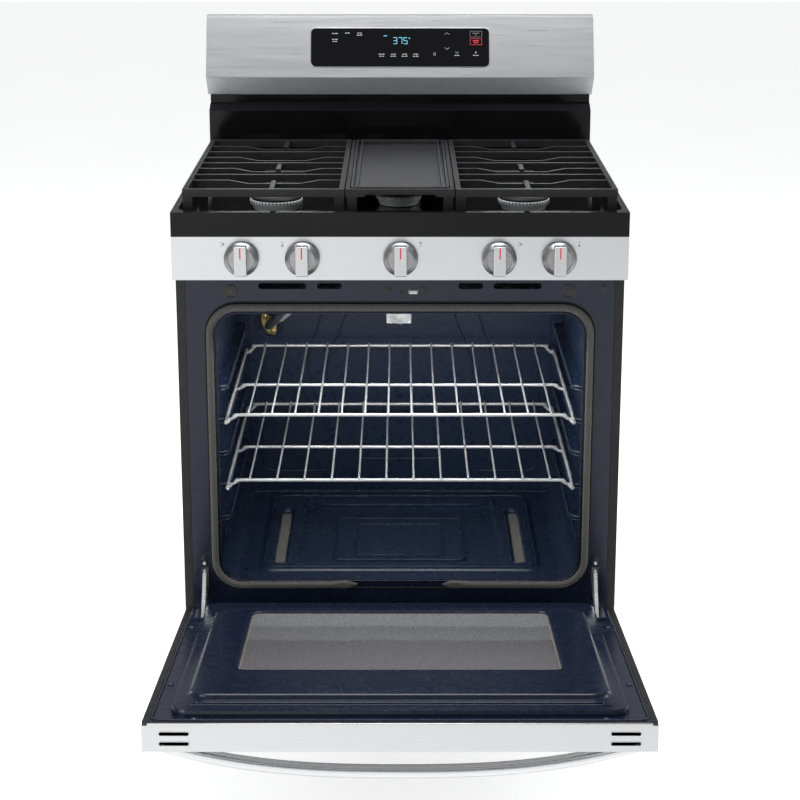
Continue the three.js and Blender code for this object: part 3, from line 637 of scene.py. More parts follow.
SEGMENTS = {"3": "abcdg", "7": "abc", "5": "acdfg"}


def seven(x, w, size_x, size_w, lit):
    t, g = 0.85, 0.3
    mid = w + size_w / 2
    bars = {
        "a": (x + g, x + size_x - g, w + size_w - t, w + size_w),
        "d": (x + g, x + size_x - g, w, w + t),
        "g": (x + g, x + size_x - g, mid - t / 2, mid + t / 2),
        "b": (x + size_x - t, x + size_x, mid + g, w + size_w - g),
        "c": (x + size_x - t, x + size_x, w + g, mid - g),
        "f": (x, x + t, mid + g, w + size_w - g),
        "e": (x, x + t, w + g, mid - g),
    }
    return [bars[k] for k in lit]


digits = []
for k, ch in enumerate("375"):
    digits += seven(-13.2 + k * 10.2, 66.8, 7.4, 13.4, SEGMENTS[ch])
digits += [(17.2, 19.4, 79.2, 79.8), (17.2, 19.4, 77.2, 77.8), (17.2, 17.8, 77.2, 79.8),
    (18.8, 19.4, 77.2, 79.8)]
digits += [(-32, -25, 82.9, 83.9)]
face_boxes("display_digits", digits, INK_CYAN)

labels = []
for x, w, n in ((-128, 87.5, 1), (-103.5, 88.3, 1), (-79.5, 88.3, 2), (-128, 75.5, 2),
        (-36, 45.5, 2), (-13.2, 45.5, 2), (9, 45.5, 2), (31, 45.5, 2), (111.8, 43.0, 1),
        (148.8, 43.0, 1)):
    for k in range(n):
        half = 5.6 - 1.1 * ((k + int(abs(x))) % 2)
        labels.append((x - half, x - half * 0.2, w - 4.3 * k, w - 4.3 * k + 1.5))
        labels.append((x, x + half, w - 4.3 * k, w - 4.3 * k + 1.5))
labels += [(67, 69.4, 43.5, 44.2), (67, 69.4, 48.5, 49.2), (66.3, 67, 44.2, 48.5),
    (69.4, 70.1, 44.2, 48.5)]
labels += [(109.5, 114, 48, 48.6), (109.5, 110.1, 48, 51.8), (113.4, 114, 48, 51.8),
    (147, 151, 48, 48.7), (148, 150, 49.5, 51.5)]
face_boxes("display_labels", labels, INK_WHITE)


def outline_box(x0, x1, w0, w1, t=0.7):
    return [(x0, x1, w0, w0 + t), (x0, x1, w1 - t, w1), (x0, x0 + t, w0 + t, w1 - t),
        (x1 - t, x1, w0 + t, w1 - t)]


face_boxes("display_keys", outline_box(137.5, 161, 80.5, 93) + [(142, 156, 88, 89.4),
    (147, 151, 83.8, 85.2)], INK_GREY)
face_boxes("display_key_off", outline_box(137.5, 161, 65, 78) + [(143, 155, 72.2, 74.4),
    (144.5, 153.5, 68.5, 70.0)], INK_RED)
chev = bmesh.new()
for w, s in ((89.5, 1), (56.0, -1)):
    for side in (-1, 1):
        a = Vector(((92.3 + side * 4.6) * MM, -2.5 * MM, (w - s * 3.4) * MM))
        b = Vector((92.3 * MM, -2.5 * MM, w * MM))
        add_tube(chev, [a, b], 0.42 * MM, 6)
finish_mesh(from_bmesh("display_chevrons", chev, FACE), INK_WHITE, "casing")

# the fascia's lower fold, turned back towards the backsplash, in a matte copy of the steel that paints
# light onto this downward face
prism("fascia_fold_face", [(637.55, 1018.15), (599.65, 1055.55), (599.1, 1054.9), (636.9, 1017.5)],
    "YZ", -380.4, 380.4, STEEL_FOLD_PAINTED_LIGHT, "casing", edge=0.15)

# thin bright rim round the glass
rim = [Vector((a * MM, -0.6 * MM, b * MM)) for a, b in rrect(-175.2, 175.2, 21.3, 99.7, 9.6, 8)]
bm = bmesh.new()
add_tube(bm, rim, 0.7 * MM, 8, closed=True)
finish_mesh(from_bmesh("display_rim", bm, FACE), STEEL, "casing")

# ---------------------------------------------------------------- door seal: braided rope
SEAL_HALF, SEAL_BOTTOM, SEAL_TOP, SEAL_CORNER = 325, 237.5, 742.5, 47.0
SEAL_Y = -7
CHANNEL_OFFSET = 7.9


def mouth_corners(r, y):
    """The four corner arcs round the oven's mouth, of radius r, in body millimetres."""
    pts = []
    for s, top, start in ((-1, 0, 1.5), (-1, 1, 1.0), (1, 1, 0.5), (1, 0, 0.0)):
        cx = s * (SEAL_HALF - SEAL_CORNER)
        cz = SEAL_TOP - SEAL_CORNER if top else SEAL_BOTTOM + SEAL_CORNER
        for k in range(9):
            a = start * math.pi - (k / 8) * math.pi / 2
            pts.append((cx + r * math.cos(a), y, cz + r * math.sin(a)))
    return pts


left_end = [(-75, SEAL_Y, 238.5), (-150, SEAL_Y, 237.5)]
right_start = [(150, SEAL_Y, 237.5), (75, SEAL_Y, 238.5)]
seal_pts = left_end + mouth_corners(SEAL_CORNER, SEAL_Y) + right_start
coarse = [P(*p) for p in seal_pts]
STEP = 0.0014
PLAIT = 0.011
fine_path = []
for a, b in zip(coarse, coarse[1:]):
    n = max(1, round((b - a).length / STEP))
    fine_path += [a.lerp(b, k / n) for k in range(n)]
fine_path.append(coarse[-1])
ring_count = len(fine_path)


def seal_radius(i, a):
    """Crossing strands all round, pressed flat and drawn to a point at the two ends."""
    d = i * STEP
    weave = 0.5 + 0.5 * math.sin(4 * a + d * 2 * math.pi / PLAIT)
    weave2 = 0.5 + 0.5 * math.sin(4 * a - d * 2 * math.pi / PLAIT)
    end = min(i, ring_count - 1 - i) * STEP
    taper = min(1.0, 0.25 + 0.75 * end / 0.016)
    press = math.sin(math.pi * min(1.0, end / 0.045))
    flat = 1.0 + press * (0.18 * math.sin(a) ** 2 - 0.38 * math.cos(a) ** 2)
    return (5.5 + 0.62 * max(weave, weave2)) * MM * taper * flat


bm = bmesh.new()
add_tube(bm, fine_path, seal_radius, 20)
seal = finish_mesh(from_bmesh("braided_seal", bm), BRAID, "casing", 80)
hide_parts("door_gasket")
# near-black tube along the channel that the seal lies in: painted shade of that channel
chan = bmesh.new()
loop = [P(*p) for p in mouth_corners(SEAL_CORNER + CHANNEL_OFFSET, -0.4)]
add_tube(chan, loop, 1.5 * MM, 8, closed=True)
finish_mesh(from_bmesh("seal_channel_painted_shade", chan), DARK, "casing", 60)

# ---------------------------------------------------------------- front frame details
for n, x in ((1, -288.5), (2, 288)):
    lathe(f"frame_plug_{n}", [(0, 0), (12, 0), (12, 0.8), (10.4, 1.6), (9.2, 0.9), (6.4, 0.9),
        (5.8, 2.0), (0, 2.2)], P(x, 0, 770), (0, -1, 0), PLASTIC, "casing", seg=48, angle=30)
for n, (x, z, r) in enumerate(((-21, 772, 4.6), (40, 772, 4.6), (345, 776, 5.0), (-346, 285, 3.4),
        (346, 283, 3.4), (2, 768, 2.6)), 1):
    lathe(f"frame_screw_{n}", [(0, 0), (r + 2.2, 0), (r + 2.0, 0.5), (r, 0.7), (r - 0.4, 1.9),
        (r - 1.4, 2.4), (1.2, 2.4), (0, 1.2)],
        P(x, 0, z), (0, -1, 0), PLASTIC, "casing", seg=32, angle=30)
boxes("latch_tongue", [(15.5, 29.5, -1.2, 1.8, 765.2, 767.6)], CHROME, "casing", edge=0.5)

# small ridges framing the mouth, on the front frame
bm = bmesh.new()
add_tube(bm, [P(a, -0.2, b) for a, b in rrect(-315.5, 315.5, 242.5, 732.5, 38.5, 8)], 1.6 * MM, 8,
    closed=True)
finish_mesh(from_bmesh("mouth_lip", bm), NAVY, "casing", 60)

# ---------------------------------------------------------------- racks: bright chrome wire
def wire_rack(name, node, body, z, count, spread):
    shoulder, side = 279.0, 303.0
    y0, y1 = 28.0, 468.0
    bm = bmesh.new()
    for s in (-1, 1):
        rail = smooth_path([P(s * (side - 5), y0 - 7, z - 8), P(s * side, y0 - 4, z - 8),
            P(s * side, 250, z - 8),
            P(s * side, y1 + 3, z - 8), P(s * (side - 5), y1 + 6, z - 8)], 5)
        add_tube(bm, rail, 3 * MM, 12)
    for y, r, rise in ((y0, 3.0, 0.0), (y0 + 185, 2.9, 0.0), (y1, 3.0, 5.0)):
        t = z + rise
        half = [(side, z - 8), (side - 7, z - 7.6), (side - 13, z - 4.4 + rise / 2),
            (side - 19, t - 0.9), (shoulder, t), (140, t)]
        pts = [P(-x, y, w) for x, w in half] + [P(0, y, t)] + [P(x, y, w) for x, w in reversed(half)]
        add_tube(bm, smooth_path(pts, 5), r * MM, 12)
    for i in range(count):
        x = -spread + 2 * spread * i / (count - 1)
        pts = [P(x, y0 - 2, z + 0.5), P(x, y0 + 2, z + 3.4), P(x, y0 + 12, z + 4.2),
            P(x, 240, z + 4.2), P(x, y1 - 50, z + 4.2),
            P(x, y1 - 30, z + 5.5), P(x, y1 - 4, z + 9.2), P(x, y1 + 2.5, z + 8.6)]
        add_tube(bm, smooth_path(pts, 4), 1.9 * MM, 10)
    rack = finish_mesh(from_bmesh(name, bm), CHROME, body, 70)
    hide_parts(node)


wire_rack("chrome_rack_upper", "rack_upper", "upper_rack", 541, 14, 264)
wire_rack("chrome_rack_lower", "rack_lower", "lower_rack", 421, 12, 264)

# ---------------------------------------------------------------- oven walls: pressed ribs and guides
WALL_Y = 508.2


def rib(bm, points, r=1.7):
    add_tube(bm, smooth_path(points, 5), r * MM, 8)


bm = bmesh.new()
for s in (-1, 1):
    rib(bm, [P(s * x, WALL_Y, z) for x, z in ((84, 706), (104, 610), (138, 520), (145, 479),
        (136, 440), (104, 366), (88, 322), (84, 308), (74, 300), (40, 299), (0, 299))])
    rib(bm, [P(s * x, WALL_Y, z) for x, z in ((141, 706), (156, 600), (178, 528), (182.6, 495),
        (174, 450), (146, 372), (137, 330), (135, 308), (140, 284), (152, 274.5), (190, 273.4),
        (250, 273.4), (268, 277), (275, 290), (275, 340), (275, 440), (275, 520))])
    rib(bm, [P(s * x, WALL_Y, z) for x, z in ((290, 256), (296, 262), (298, 300), (298, 500),
        (298, 690))])
rib(bm, [P(x, WALL_Y, z) for x, z in ((-290, 256), (-200, 252), (0, 251), (200, 252), (290, 256))])
finish_mesh(from_bmesh("back_wall_ribs", bm), NAVY_RIB_HIGHLIGHT, "casing", 70)

bm = bmesh.new()
for s in (-1, 1):
    for z in (361, 421, 481, 541, 601):
        for off, r in ((-11.5, 2.6), (-17.5, 2.0)):
            rib(bm, [P(s * 319.4, 34, z + off), P(s * 308, 40, z + off), P(s * 301.4, 52, z + off),
                P(s * 301, 90, z + off),
                P(s * 301, 420, z + off), P(s * 301.4, 460, z + off), P(s * 308, 472, z + off),
                P(s * 319.4, 480, z + off)], r)
        for y in (150, 262, 374):
            rib(bm, [P(s * 319.6, y - 30, z - 30), P(s * 317.4, y - 16, z - 34), P(s * 317, y, z - 35),
                P(s * 317.4, y + 16, z - 34), P(s * 319.6, y + 30, z - 30)], 3.2)
    rib(bm, [P(s * 319.2, 60, 318), P(s * 318.4, 66, 300), P(s * 318.4, 90, 292),
        P(s * 318.4, 250, 291), P(s * 318.4, 410, 292), P(s * 318.4, 440, 300),
        P(s * 319.2, 448, 318)], 2.6)
finish_mesh(from_bmesh("side_guides", bm), NAVY_RIB_HIGHLIGHT, "casing", 70)

# round recess of the broiler feed
for k, (r0, r1) in enumerate(((27, 1.6), (21, 1.1))):
    bm = bmesh.new()
    add_tube(bm, [P(-259 + r0 * math.cos(t), 508,
        581 + r0 * math.sin(t)) for t in [2 * math.pi * q / 40 for q in range(40)]], r1 * MM, 8,
        closed=True)
    finish_mesh(from_bmesh(f"feed_recess_ring_{k + 1}", bm), NAVY_RIB_HIGHLIGHT, "casing", 70)


# ---------------------------------------------------------------- oven floor: one pressed sheet
def smooth(t):
    t = min(1.0, max(0.0, t))
    return t * t * (3 - 2 * t)


def inside(x, y, x0, x1, y0, y1, r):
    """Distance inside (positive) or outside (negative) a rounded rectangle, in millimetres."""
    cx, cy = (x0 + x1) / 2, (y0 + y1) / 2
    qx, qy = abs(x - cx) - (x1 - x0) / 2 + r, abs(y - cy) - (y1 - y0) / 2 + r
    return r - math.hypot(max(qx, 0), max(qy, 0)) - min(max(qx, qy), 0)


def floor_height(x, y):
    """The pressed sheet: two rims, a dished middle with its plinth, a rear slope and two slots."""
    z = 234.9 + 4.6 * smooth(inside(x, y, -256, 256, 60, 462, 26) / 6)
    z += 1.6 * smooth(inside(x, y, -246, 246, 74, 448, 20) / 4)
    taper = 8 * smooth((y - 100) / 300)
    z -= 4.6 * smooth(inside(x, y, -192 + taper, 192 - taper, 92, 446, 34) / 9)
    z += 2.6 * smooth(inside(x, y, -122, 122, 110, 326, 16) / 4)
    z += 2.2 * smooth(inside(x, y, -82, 82, 127, 288, 9) / 3.5)
    ramp_up = smooth((y - (372 + 16 * smooth((abs(x) - 140) / 40))) / 22)
    z += 8.0 * ramp_up * smooth(inside(x, y, -188, 188, 340, 436, 24) / 9)
    z -= 6.0 * smooth((inside(x, y, -229, -205, 91, 368, 10) + 0.5) / 3)
    z -= 6.0 * smooth((inside(x, y, 205, 229, 91, 368, 10) + 0.5) / 3)
    return max(z, 234.5)


def relief(name, x0, x1, y0, y1, nx, ny, height, base, mat, body):
    bm = bmesh.new()
    grid = []
    for j in range(ny + 1):
        y = y0 + (y1 - y0) * j / ny
        grid.append([bm.verts.new(P(x0 + (x1 - x0) * i / nx, y,
            height(x0 + (x1 - x0) * i / nx, y))) for i in range(nx + 1)])
    for j in range(ny):
        for i in range(nx):
            bm.faces.new([grid[j][i], grid[j][i + 1], grid[j + 1][i + 1], grid[j + 1][i]])
    right = [row[-1] for row in grid[1:-1]]
    left = [row[0] for row in reversed(grid[1:-1])]
    rim = grid[0] + right + list(reversed(grid[-1])) + left
    low_rim = [bm.verts.new((v.co.x, v.co.y, base * MM)) for v in rim]
    for k in range(len(rim)):
        j = (k + 1) % len(rim)
        bm.faces.new([rim[j], rim[k], low_rim[k], low_rim[j]])
    bm.faces.new(low_rim)
    return finish_mesh(from_bmesh(name, bm), mat, body, 60)


oven_floor = relief("pressed_oven_floor", -256, 256, 60, 462, 220, 172, floor_height, 234.3, NAVY_IN,
    "casing")
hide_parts("oven_floor_panel")
# Pale strips low in the two floor slots: painted light for the slots' lit walls.
for s, where in ((-1, "left"), (1, "right")):
    prism(f"floor_slot_{where}", rrect(s * 219 - 8.8, s * 219 + 8.8, 96, 352, 3, 5), "XY", 234.6, 237.6,
        SLOT_PAINTED_LIGHT, "casing", edge=0.4)


def crease(bm, x0, x1, y0, y1, r, z, thick):
    """A thin raised line along a rounded rectangle on the oven floor."""
    add_tube(bm, [P(a, b, z) for a, b in rrect(x0, x1, y0, y1, r, 6)], thick * MM, 8, closed=True)


# Raised lines along the floor's pressed edges, in the lighter rib enamel: a painted highlight along each
# edge.
bm = bmesh.new()
crease(bm, -247, 247, 72, 450, 22, 240.2, 1.5)
for s in (-1, 1):
    crease(bm, s * 217 - 14, s * 217 + 14, 87, 373, 12, 240.6, 1.5)
crease(bm, -122, 122, 110, 326, 15, 238.2, 1.3)
crease(bm, -82, 82, 127, 288, 9, 240.6, 1.2)
for s in (-1, 1):
    rib(bm, [P(s * 196, 110, 239.2), P(s * 188, 240, 239.2), P(s * 183, 330, 239.4),
        P(s * 176, 366, 241), P(s * 150, 386, 244.6)], 1.5)
rib(bm, [P(-172, 434, 243.5), P(-150, 430, 246.5), P(0, 429, 247), P(150, 430, 246.5),
    P(172, 434, 243.5)], 1.4)
rib(bm, [P(-150, 386, 244.6), P(-120, 383, 245), P(0, 383, 245), P(120, 383, 245), P(150, 386, 244.6)],
    1.3)
finish_mesh(from_bmesh("floor_creases", bm), NAVY_RIB_HIGHLIGHT, "casing", 70)
bm = bmesh.new()
for s in (-1, 1):
    rib(bm, [P(s * 310, 20, 235), P(s * 312, 60, 235), P(s * 312, 440, 235), P(s * 306, 478, 235),
        P(s * 290, 490, 235), P(0, 492, 235)], 2.2)
rib(bm, [P(-300, 14, 234.8), P(-150, 12, 234.8), P(0, 12, 234.8), P(150, 12, 234.8),
    P(300, 14, 234.8)], 1.8)
finish_mesh(from_bmesh("cavity_floor_ribs", bm), NAVY_RIB_HIGHLIGHT, "casing", 70)

# ---------------------------------------------------------------- broiler feed and igniter
FEED_X, FEED_Z = -259, 581
AX = Vector((-0.46, 0, 0.89)).normalized()
SX = Vector((0.89, 0, 0.46)).normalized()
oval = []
for k in range(48):
    t = 2 * math.pi * k / 48
    along = 24.5 * math.sin(t)
    across = 12.5 * math.cos(t) * (1.0 - 0.16 * math.sin(t) ** 2)
    oval.append((FEED_X + AX.x * along + SX.x * across, FEED_Z + AX.z * along + SX.z * across))
flange = prism("feed_flange_plate", oval, "XZ", 500.4, 504.2, BRASS, "casing",
    edge=0.9)
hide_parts("broil_burner_flange")
for k, s in enumerate((-1, 1), 1):
    c = P(FEED_X + AX.x * 16.5 * s, 500.4, FEED_Z + AX.z * 16.5 * s)
    lathe(f"feed_screw_{k}", [(0, 0), (5.6, 0), (5.8, 1.2), (5.2, 2.4), (3.4, 2.9), (3.0, 1.9),
        (0, 1.9)], c, (0, -1, 0), BRASS_DARK, "casing", seg=6 if s > 0 else 32)
tubes("feed_spud", [[P(-259, 503, 581), P(-257.5, 494, 582), P(-254, 486, 586), P(-248, 478, 592)]],
    5.4 * MM, COPPER, "casing", 20)
feed = smooth_path([P(-252, 484, 588), P(-244, 474, 597), P(-232, 455, 611), P(-212, 435, 631),
    P(-186, 420, 650), P(-150, 408, 665), P(-108, 402, 676)], 8)


def feed_radius(i, _):
    """A flaring mixer tube with a band round its middle and one at its mouth."""
    bands = 1.1 * math.exp(-((i - 15) / 2.0) ** 2) + 0.9 * math.exp(-((i - 3) / 1.5) ** 2)
    return (8.2 + 3.4 * smooth((i - 4) / 16) + bands) * MM


bm = bmesh.new()
add_tube(bm, feed, feed_radius, 24)
finish_mesh(from_bmesh("feed_mixer_tube", bm), ALU, "casing", 60)
lathe("feed_rivet", [(0, 0), (2.6, 0), (2.4, 1.0), (1.2, 1.7), (0, 1.8)], P(-300, WALL_Y, 585),
    (0, -1, 0), NAVY_RIB_HIGHLIGHT, "casing", seg=20)

block = [(-24.6, 685), (-24.6, 672), (-22, 667.4), (-18.5, 666.4), (-16, 668.2), (-13, 664.2),
    (-8.5, 663.0), (-5, 665.6), (-2, 662.8), (3, 662.4), (6, 665.4), (9.5, 663.6), (14, 665.8),
    (16.5, 668.6), (20.6, 671), (20.6, 685)]
prism("igniter_shield", block, "XZ", 188.6, 190.4, CERAMIC, "casing", edge=0.5)
bm = bmesh.new()
for s, x0 in ((-1, -24), (1, 20)):
    add_tube(bm, smooth_path([P(x0, 187.5, 684), P(s * 70, 186.5, 688.5), P(s * 152, 186, 693)], 6),
        1.7 * MM, 8)
finish_mesh(from_bmesh("deflector_edge", bm), CHROME, "casing", 60)

# ---------------------------------------------------------------- burners
BOWL_Z, LID_Z, PIN_Z = 884.4, 902.7, 884.2
PORTS = 46
BURNERS = (("left_front", -217, 147, 47), ("left_rear", -217, 380, 40), ("centre", -2, 190, 41),
    ("right_rear", 215, 380, 40), ("right_front", 217, 147, 46))
for where, x, y, r in BURNERS:
    bowl = lathe(f"burner_bowl_{where}", [(0, 0), (r * 0.78, 0), (r * 0.84, 1.0), (r * 0.86, 4.0),
        (r * 0.92, 8.5), (r * 0.985, 12), (r, 14), (r, 17.2), (r * 0.965, 17.9), (0, 17.9)],
        P(x, y, BOWL_Z), (0, 0, 1), ALU, "casing", seg=96, angle=28)
    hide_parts(f"burner_head_{where}")
    cap = lathe(f"burner_lid_{where}", [(0, 0), (r * 0.9, 0), (r * 0.94, 0.8), (r * 0.945, 3.2),
        (r * 0.91, 5.4), (r * 0.82, 6.9), (r * 0.6, 7.7), (0, 7.9)],
        P(x, y, LID_Z), (0, 0, 1), IRON, "casing", seg=72, angle=28)
    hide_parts(f"burner_cap_{where}")
    # Near-black notches round each bowl's rim: painted shade standing in for the gas port openings.
    bm = bmesh.new()
    for k in range(PORTS):
        t = 2 * math.pi * k / PORTS
        u = Vector((math.cos(t), math.sin(t), 0))
        v = Vector((-math.sin(t), math.cos(t), 0))
        c = P(x, y, BOWL_Z) + u * ((r - 1.0) * MM)
        low_w, top_w = 0.2 * MM, 1.0 * MM
        quad = [(c + v * low_w, 13.6), (c - v * low_w, 13.6), (c - v * top_w, 18.15),
            (c + v * top_w, 18.15)]
        rings = [[bm.verts.new(p + Vector((0, 0, h * MM)) + u * o) for p, h in quad] for o in (0,
            1.35 * MM)]
        bm.faces.new(rings[0])
        bm.faces.new(list(reversed(rings[1])))
        for q in range(4):
            w = (q + 1) % 4
            bm.faces.new([rings[0][w], rings[0][q], rings[1][q], rings[1][w]])
    finish_mesh(from_bmesh(f"burner_port_shade_{where}", bm), DARK, "casing")
    ig = P(x + (r + 9) * 0.7, y + (r + 9) * 0.7, PIN_Z)
    lathe(f"spark_pin_{where}", [(0, 0), (4.2, 0), (4.0, 5), (3.0, 6), (2.8, 13), (1.1, 13.6),
        (1.0, 17), (0, 17.4)], ig, (0, 0, 1), CERAMIC, "casing", seg=24)

# ---------------------------------------------------------------- oven door: liner, glass, trims, handle
def loft(name, rings, mat, body, matrix, closed_tube=False, angle=35.0):
    """Rounded-rectangle rings (x0, x1, z0, z1, corner, y) joined in order.

    closed_tube leaves a hole through the middle.
    """
    bm = bmesh.new()
    made = []
    for x0, x1, z0, z1, r, y in rings:
        made.append([bm.verts.new((x * MM, y * MM, z * MM)) for x, z in rrect(x0, x1, z0, z1, r, 10)])
    pairs = list(zip(made, made[1:]))
    if closed_tube:
        pairs.append((made[-1], made[0]))
    n = len(made[0])
    for a, b in pairs:
        for k in range(n):
            j = (k + 1) % n
            bm.faces.new([a[k], a[j], b[j], b[k]])
    if not closed_tube:
        bm.faces.new(made[0])
        bm.faces.new(list(reversed(made[-1])))
    return finish_mesh(from_bmesh(name, bm, matrix), mat, body, angle)


def sym(half, z0, z1, r, y):
    return (-half, half, z0, z1, r, y)


loft("door_liner_relief", [
    sym(337.2, -2.2, 568.2, 28, 25.7), sym(337.4, -2.4, 568.4, 28, 27.5),
    sym(336.8, -1.8, 567.8, 27.6, 33.6),
    sym(335.9, -0.9, 566.9, 27, 35.9), sym(333.6, 1.6, 564.4, 25, 36.35), sym(330, 5, 561, 23, 36.5),
    sym(321, 55, 530, 34, 36.5), sym(316.4, 60.4, 524.6, 32.5, 37.4),
    sym(314.2, 61.8, 522.2, 31.5, 40.2),
    sym(313.4, 62.6, 521.4, 31, 43.6), sym(311.8, 64.2, 519.8, 30, 45.0),
    sym(308.6, 67.4, 516.6, 28, 45.4),
    sym(262, 77, 414, 22, 45.4), sym(256, 82.5, 408.5, 18, 45.8), sym(253, 85.2, 405.8, 16, 45.2),
    sym(251.4, 86.8, 404.2, 15, 43.4), sym(250.8, 87.4, 403.6, 14.6, 40.9),
    sym(250.8, 87.4, 403.6, 14.6, 30.0),
], NAVY, "door", DOOR_MAT, closed_tube=True)

# beads pressed in the head end of the liner, then the rolled rim round it
bm = bmesh.new()
for z, half, r, y in ((538.0, 292, 2.5, 36.6), (548.5, 300, 1.8, 36.8)):
    path = [Vector((a * MM, y * MM, b * MM)) for a, b in ((-half, z - 5), (-half + 4, z - 1.5),
        (-half + 12, z), (0, z), (half - 12, z), (half - 4, z - 1.5), (half, z - 5))]
    add_tube(bm, smooth_path(path, 5), r * MM, 10)
finish_mesh(from_bmesh("door_liner_beads", bm, DOOR_MAT), NAVY, "door", 60)
bm = bmesh.new()
path = [Vector((a * MM, 26.4 * MM, b * MM)) for a, b in rrect(-361.5, 361.5, -10, 584, 12, 6)]
add_tube(bm, path, 1.7 * MM, 8, closed=True)
finish_mesh(from_bmesh("door_liner_rim", bm, DOOR_MAT), NAVY, "door", 60)

loft("door_window_pane", [sym(250.4, 87.8, 403.2, 14, 40.9), sym(250.4, 87.8, 403.2, 14, 41.35),
    sym(249.6, 88.6, 402.4, 13.6, 41.6)],
    OVEN_GLASS_PAINTED_REFLECTION, "door", DOOR_MAT)
loft("door_window_edge", [sym(250.2, 88, 403, 14, 41.4), sym(250.2, 88, 403, 14, 42.0),
    sym(247.8, 90.4, 400.6, 12.5, 42.0), sym(247.8, 90.4, 400.6, 12.5, 41.4)],
    GLASS_EDGE, "door", DOOR_MAT, closed_tube=True)

boxes("door_side_trims", [(-374.4, -363.5, 18, 27.2, -13.4, 589),
    (363.5, 374.4, 18, 27.2, -13.4, 589)], PAINT, "door", 1.2, DOOR_MAT)
boxes("door_head_lip", [(-366, 366, 22.5, 26.8, 594.2, 598.4)], STEEL, "door", 1.1,
    DOOR_MAT)
boxes("door_head_shadow", [(-363, 363, 25.0, 26.6, 589.4, 594.0)], DARK, "door", 0.3, DOOR_MAT)
for n, (x, z) in enumerate(((-300, 578), (300, 578), (-352, 120), (352, 120), (-352, 420), (352, 420)),
        1):
    lathe(f"door_screw_{n}", [(0, 0), (5.0, 0), (4.9, 0.9), (4.2, 1.9), (2.6, 2.5), (1.8, 1.6),
        (0, 1.6)], Vector((x * MM, 26.0 * MM, z * MM)), (0, 1, 0),
        NAVY_RIB_HIGHLIGHT, "door", seg=32, matrix=DOOR_MAT)
bm = bmesh.new()
for s in (-1, 1):
    add_box(bm, *[v * MM for v in ((s * 345) - 8.6, (s * 345) - 7.2, 26.0, 30.5, -15.5, 72)])
    add_box(bm, *[v * MM for v in ((s * 345) + 7.2, (s * 345) + 8.6, 26.0, 30.5, -15.5, 72)])
    add_box(bm, *[v * MM for v in ((s * 345) - 8.6, (s * 345) + 8.6, 26.0, 30.5, 72, 73.6)])
obj = from_bmesh("hinge_pocket_edges", bm, DOOR_MAT)
bevel(obj, 0.4 * MM)
finish_mesh(obj, NAVY_RIB_HIGHLIGHT, "door")
# vent slots in the head edge get pressed rims
bm = bmesh.new()
for s in (-1, 1):
    x0, x1 = sorted((s * 305, s * 349))
    for yc in (-4, 11):
        loop = [Vector((a * MM, b * MM, 598.0 * MM)) for a, b in rrect(x0, x1, yc - 3.1, yc + 3.1, 2.9,
            5)]
        add_tube(bm, loop, 0.7 * MM, 6, closed=True)
finish_mesh(from_bmesh("door_vent_rims", bm, DOOR_MAT), STEEL, "door", 60)


HANDLE_HALF, HANDLE_Z = 358, 573


def handle_offset(x):
    """How far the bowed bar stands off the door at x."""
    return 3 + 43 * (1 - abs(x / HANDLE_HALF) ** 2.6)


STATIONS = 96
section = rrect(-7.5, 7.5, -13, 13, 5.2, 5)
bm = bmesh.new()
rings = []
for k in range(STATIONS + 1):
    x = -HANDLE_HALF + 2 * HANDLE_HALF * k / STATIONS
    slope = (handle_offset(min(HANDLE_HALF, x + 1)) - handle_offset(max(-HANDLE_HALF, x - 1))) / 2
    turn = math.atan(slope)
    ends = smooth((HANDLE_HALF - abs(x)) / 16)
    yc = -16 - handle_offset(x) + 7.5
    ring = []
    for a, b in section:
        a2 = a * (0.72 + 0.28 * ends)
        b2 = b * (0.80 + 0.20 * ends)
        ring.append(bm.verts.new(((x + a2 * math.sin(turn)) * MM, (yc + a2 * math.cos(turn)) * MM,
            (HANDLE_Z + b2) * MM)))
    rings.append(ring)
for a, b in zip(rings, rings[1:]):
    for k in range(len(a)):
        j = (k + 1) % len(a)
        bm.faces.new([a[k], a[j], b[j], b[k]])
bm.faces.new(list(reversed(rings[0])))
bm.faces.new(rings[-1])
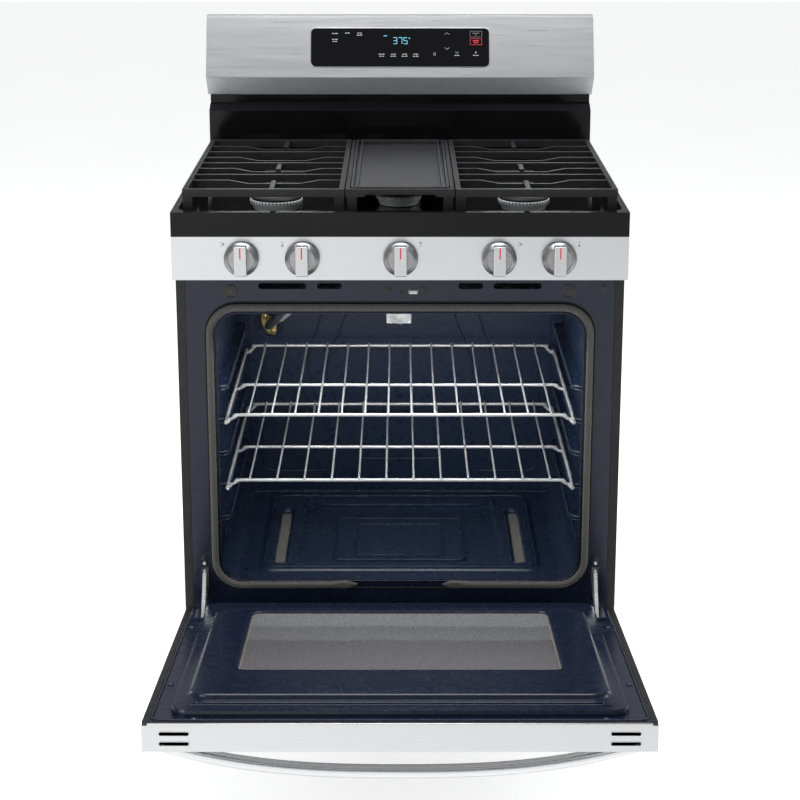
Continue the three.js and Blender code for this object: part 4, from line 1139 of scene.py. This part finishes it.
grip = finish_mesh(from_bmesh("door_grip_bar", bm, DOOR_MAT), HANDLE_STEEL, "door", 40)
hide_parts("door_handle")

# ---------------------------------------------------------------- hinge screws
for s, where in ((-1, "left"), (1, "right")):
    for z, r in ((276, 3.0), (262, 2.2)):
        lathe(f"hinge_stud_{where}_{z}", [(0, 0), (r, 0), (r, 2.6), (r - 0.8, 3.4), (0, 3.4)],
            P(s * 345, -0.3, z), (0, -1, 0), CHROME, "casing", seg=24)

# ---------------------------------------------------------------- outside: back, sides, top
boxes("rear_cover_ribs", [(-300 + 120 * k - 9, -300 + 120 * k + 9, 667.2, 668.0, 905,
    1150) for k in range(6)], ZINC, "casing", 0.6)
boxes("back_panel_ribs", [(-330, 330, 661.4, 663.6, z - 7, z + 7) for z in (130, 250, 370, 490, 610)],
    ZINC, "casing", 1.0)
louvres = []
for k in range(9):
    for x in (-230, 0, 230):
        louvres.append((x - 60, x + 60, 661.6, 664.2, 700 + k * 14, 706 + k * 14))
boxes("back_louvres", louvres, ZINC, "casing", 1.4)
# Near-black strips behind the louvres: painted shade in their openings.
boxes("back_louvre_painted_shade", [(a + 2, b - 2, 661.8, 662.4, e - 3.4, e - 0.4) for a, b, _, _, e,
    _ in louvres], DARK, "casing", 0)
n = 0
for z in (60, 300, 560, 840):
    for x in (-368, -120, 120, 368):
        n += 1
        lathe(f"back_screw_{n}", [(0, 0), (4.6, 0), (4.6, 1.2), (3.2, 2.4), (0, 2.6)], P(x, 662.0, z),
            (0, 1, 0), ZINC, "casing", seg=6)
for s, where in ((-1, "left"), (1, "right")):
    x = s * 381
    boxes(f"side_bead_{where}", [(x - 0.35, x + 0.35, 40, 640, 96, 99),
        (x - 0.35, x + 0.35, 40, 640, 812, 815)], PAINT, "casing", 0.3)
    for k, (y, z) in enumerate(((30, 60), (630, 60), (30, 850), (630, 850)), 1):
        lathe(f"side_screw_{where}_{k}", [(0, 0), (4.2, 0), (4.2, 0.25), (2.4, 0.36), (0, 0.36)],
            P(x, y, z), (s, 0, 0), PAINT, "casing", seg=24)
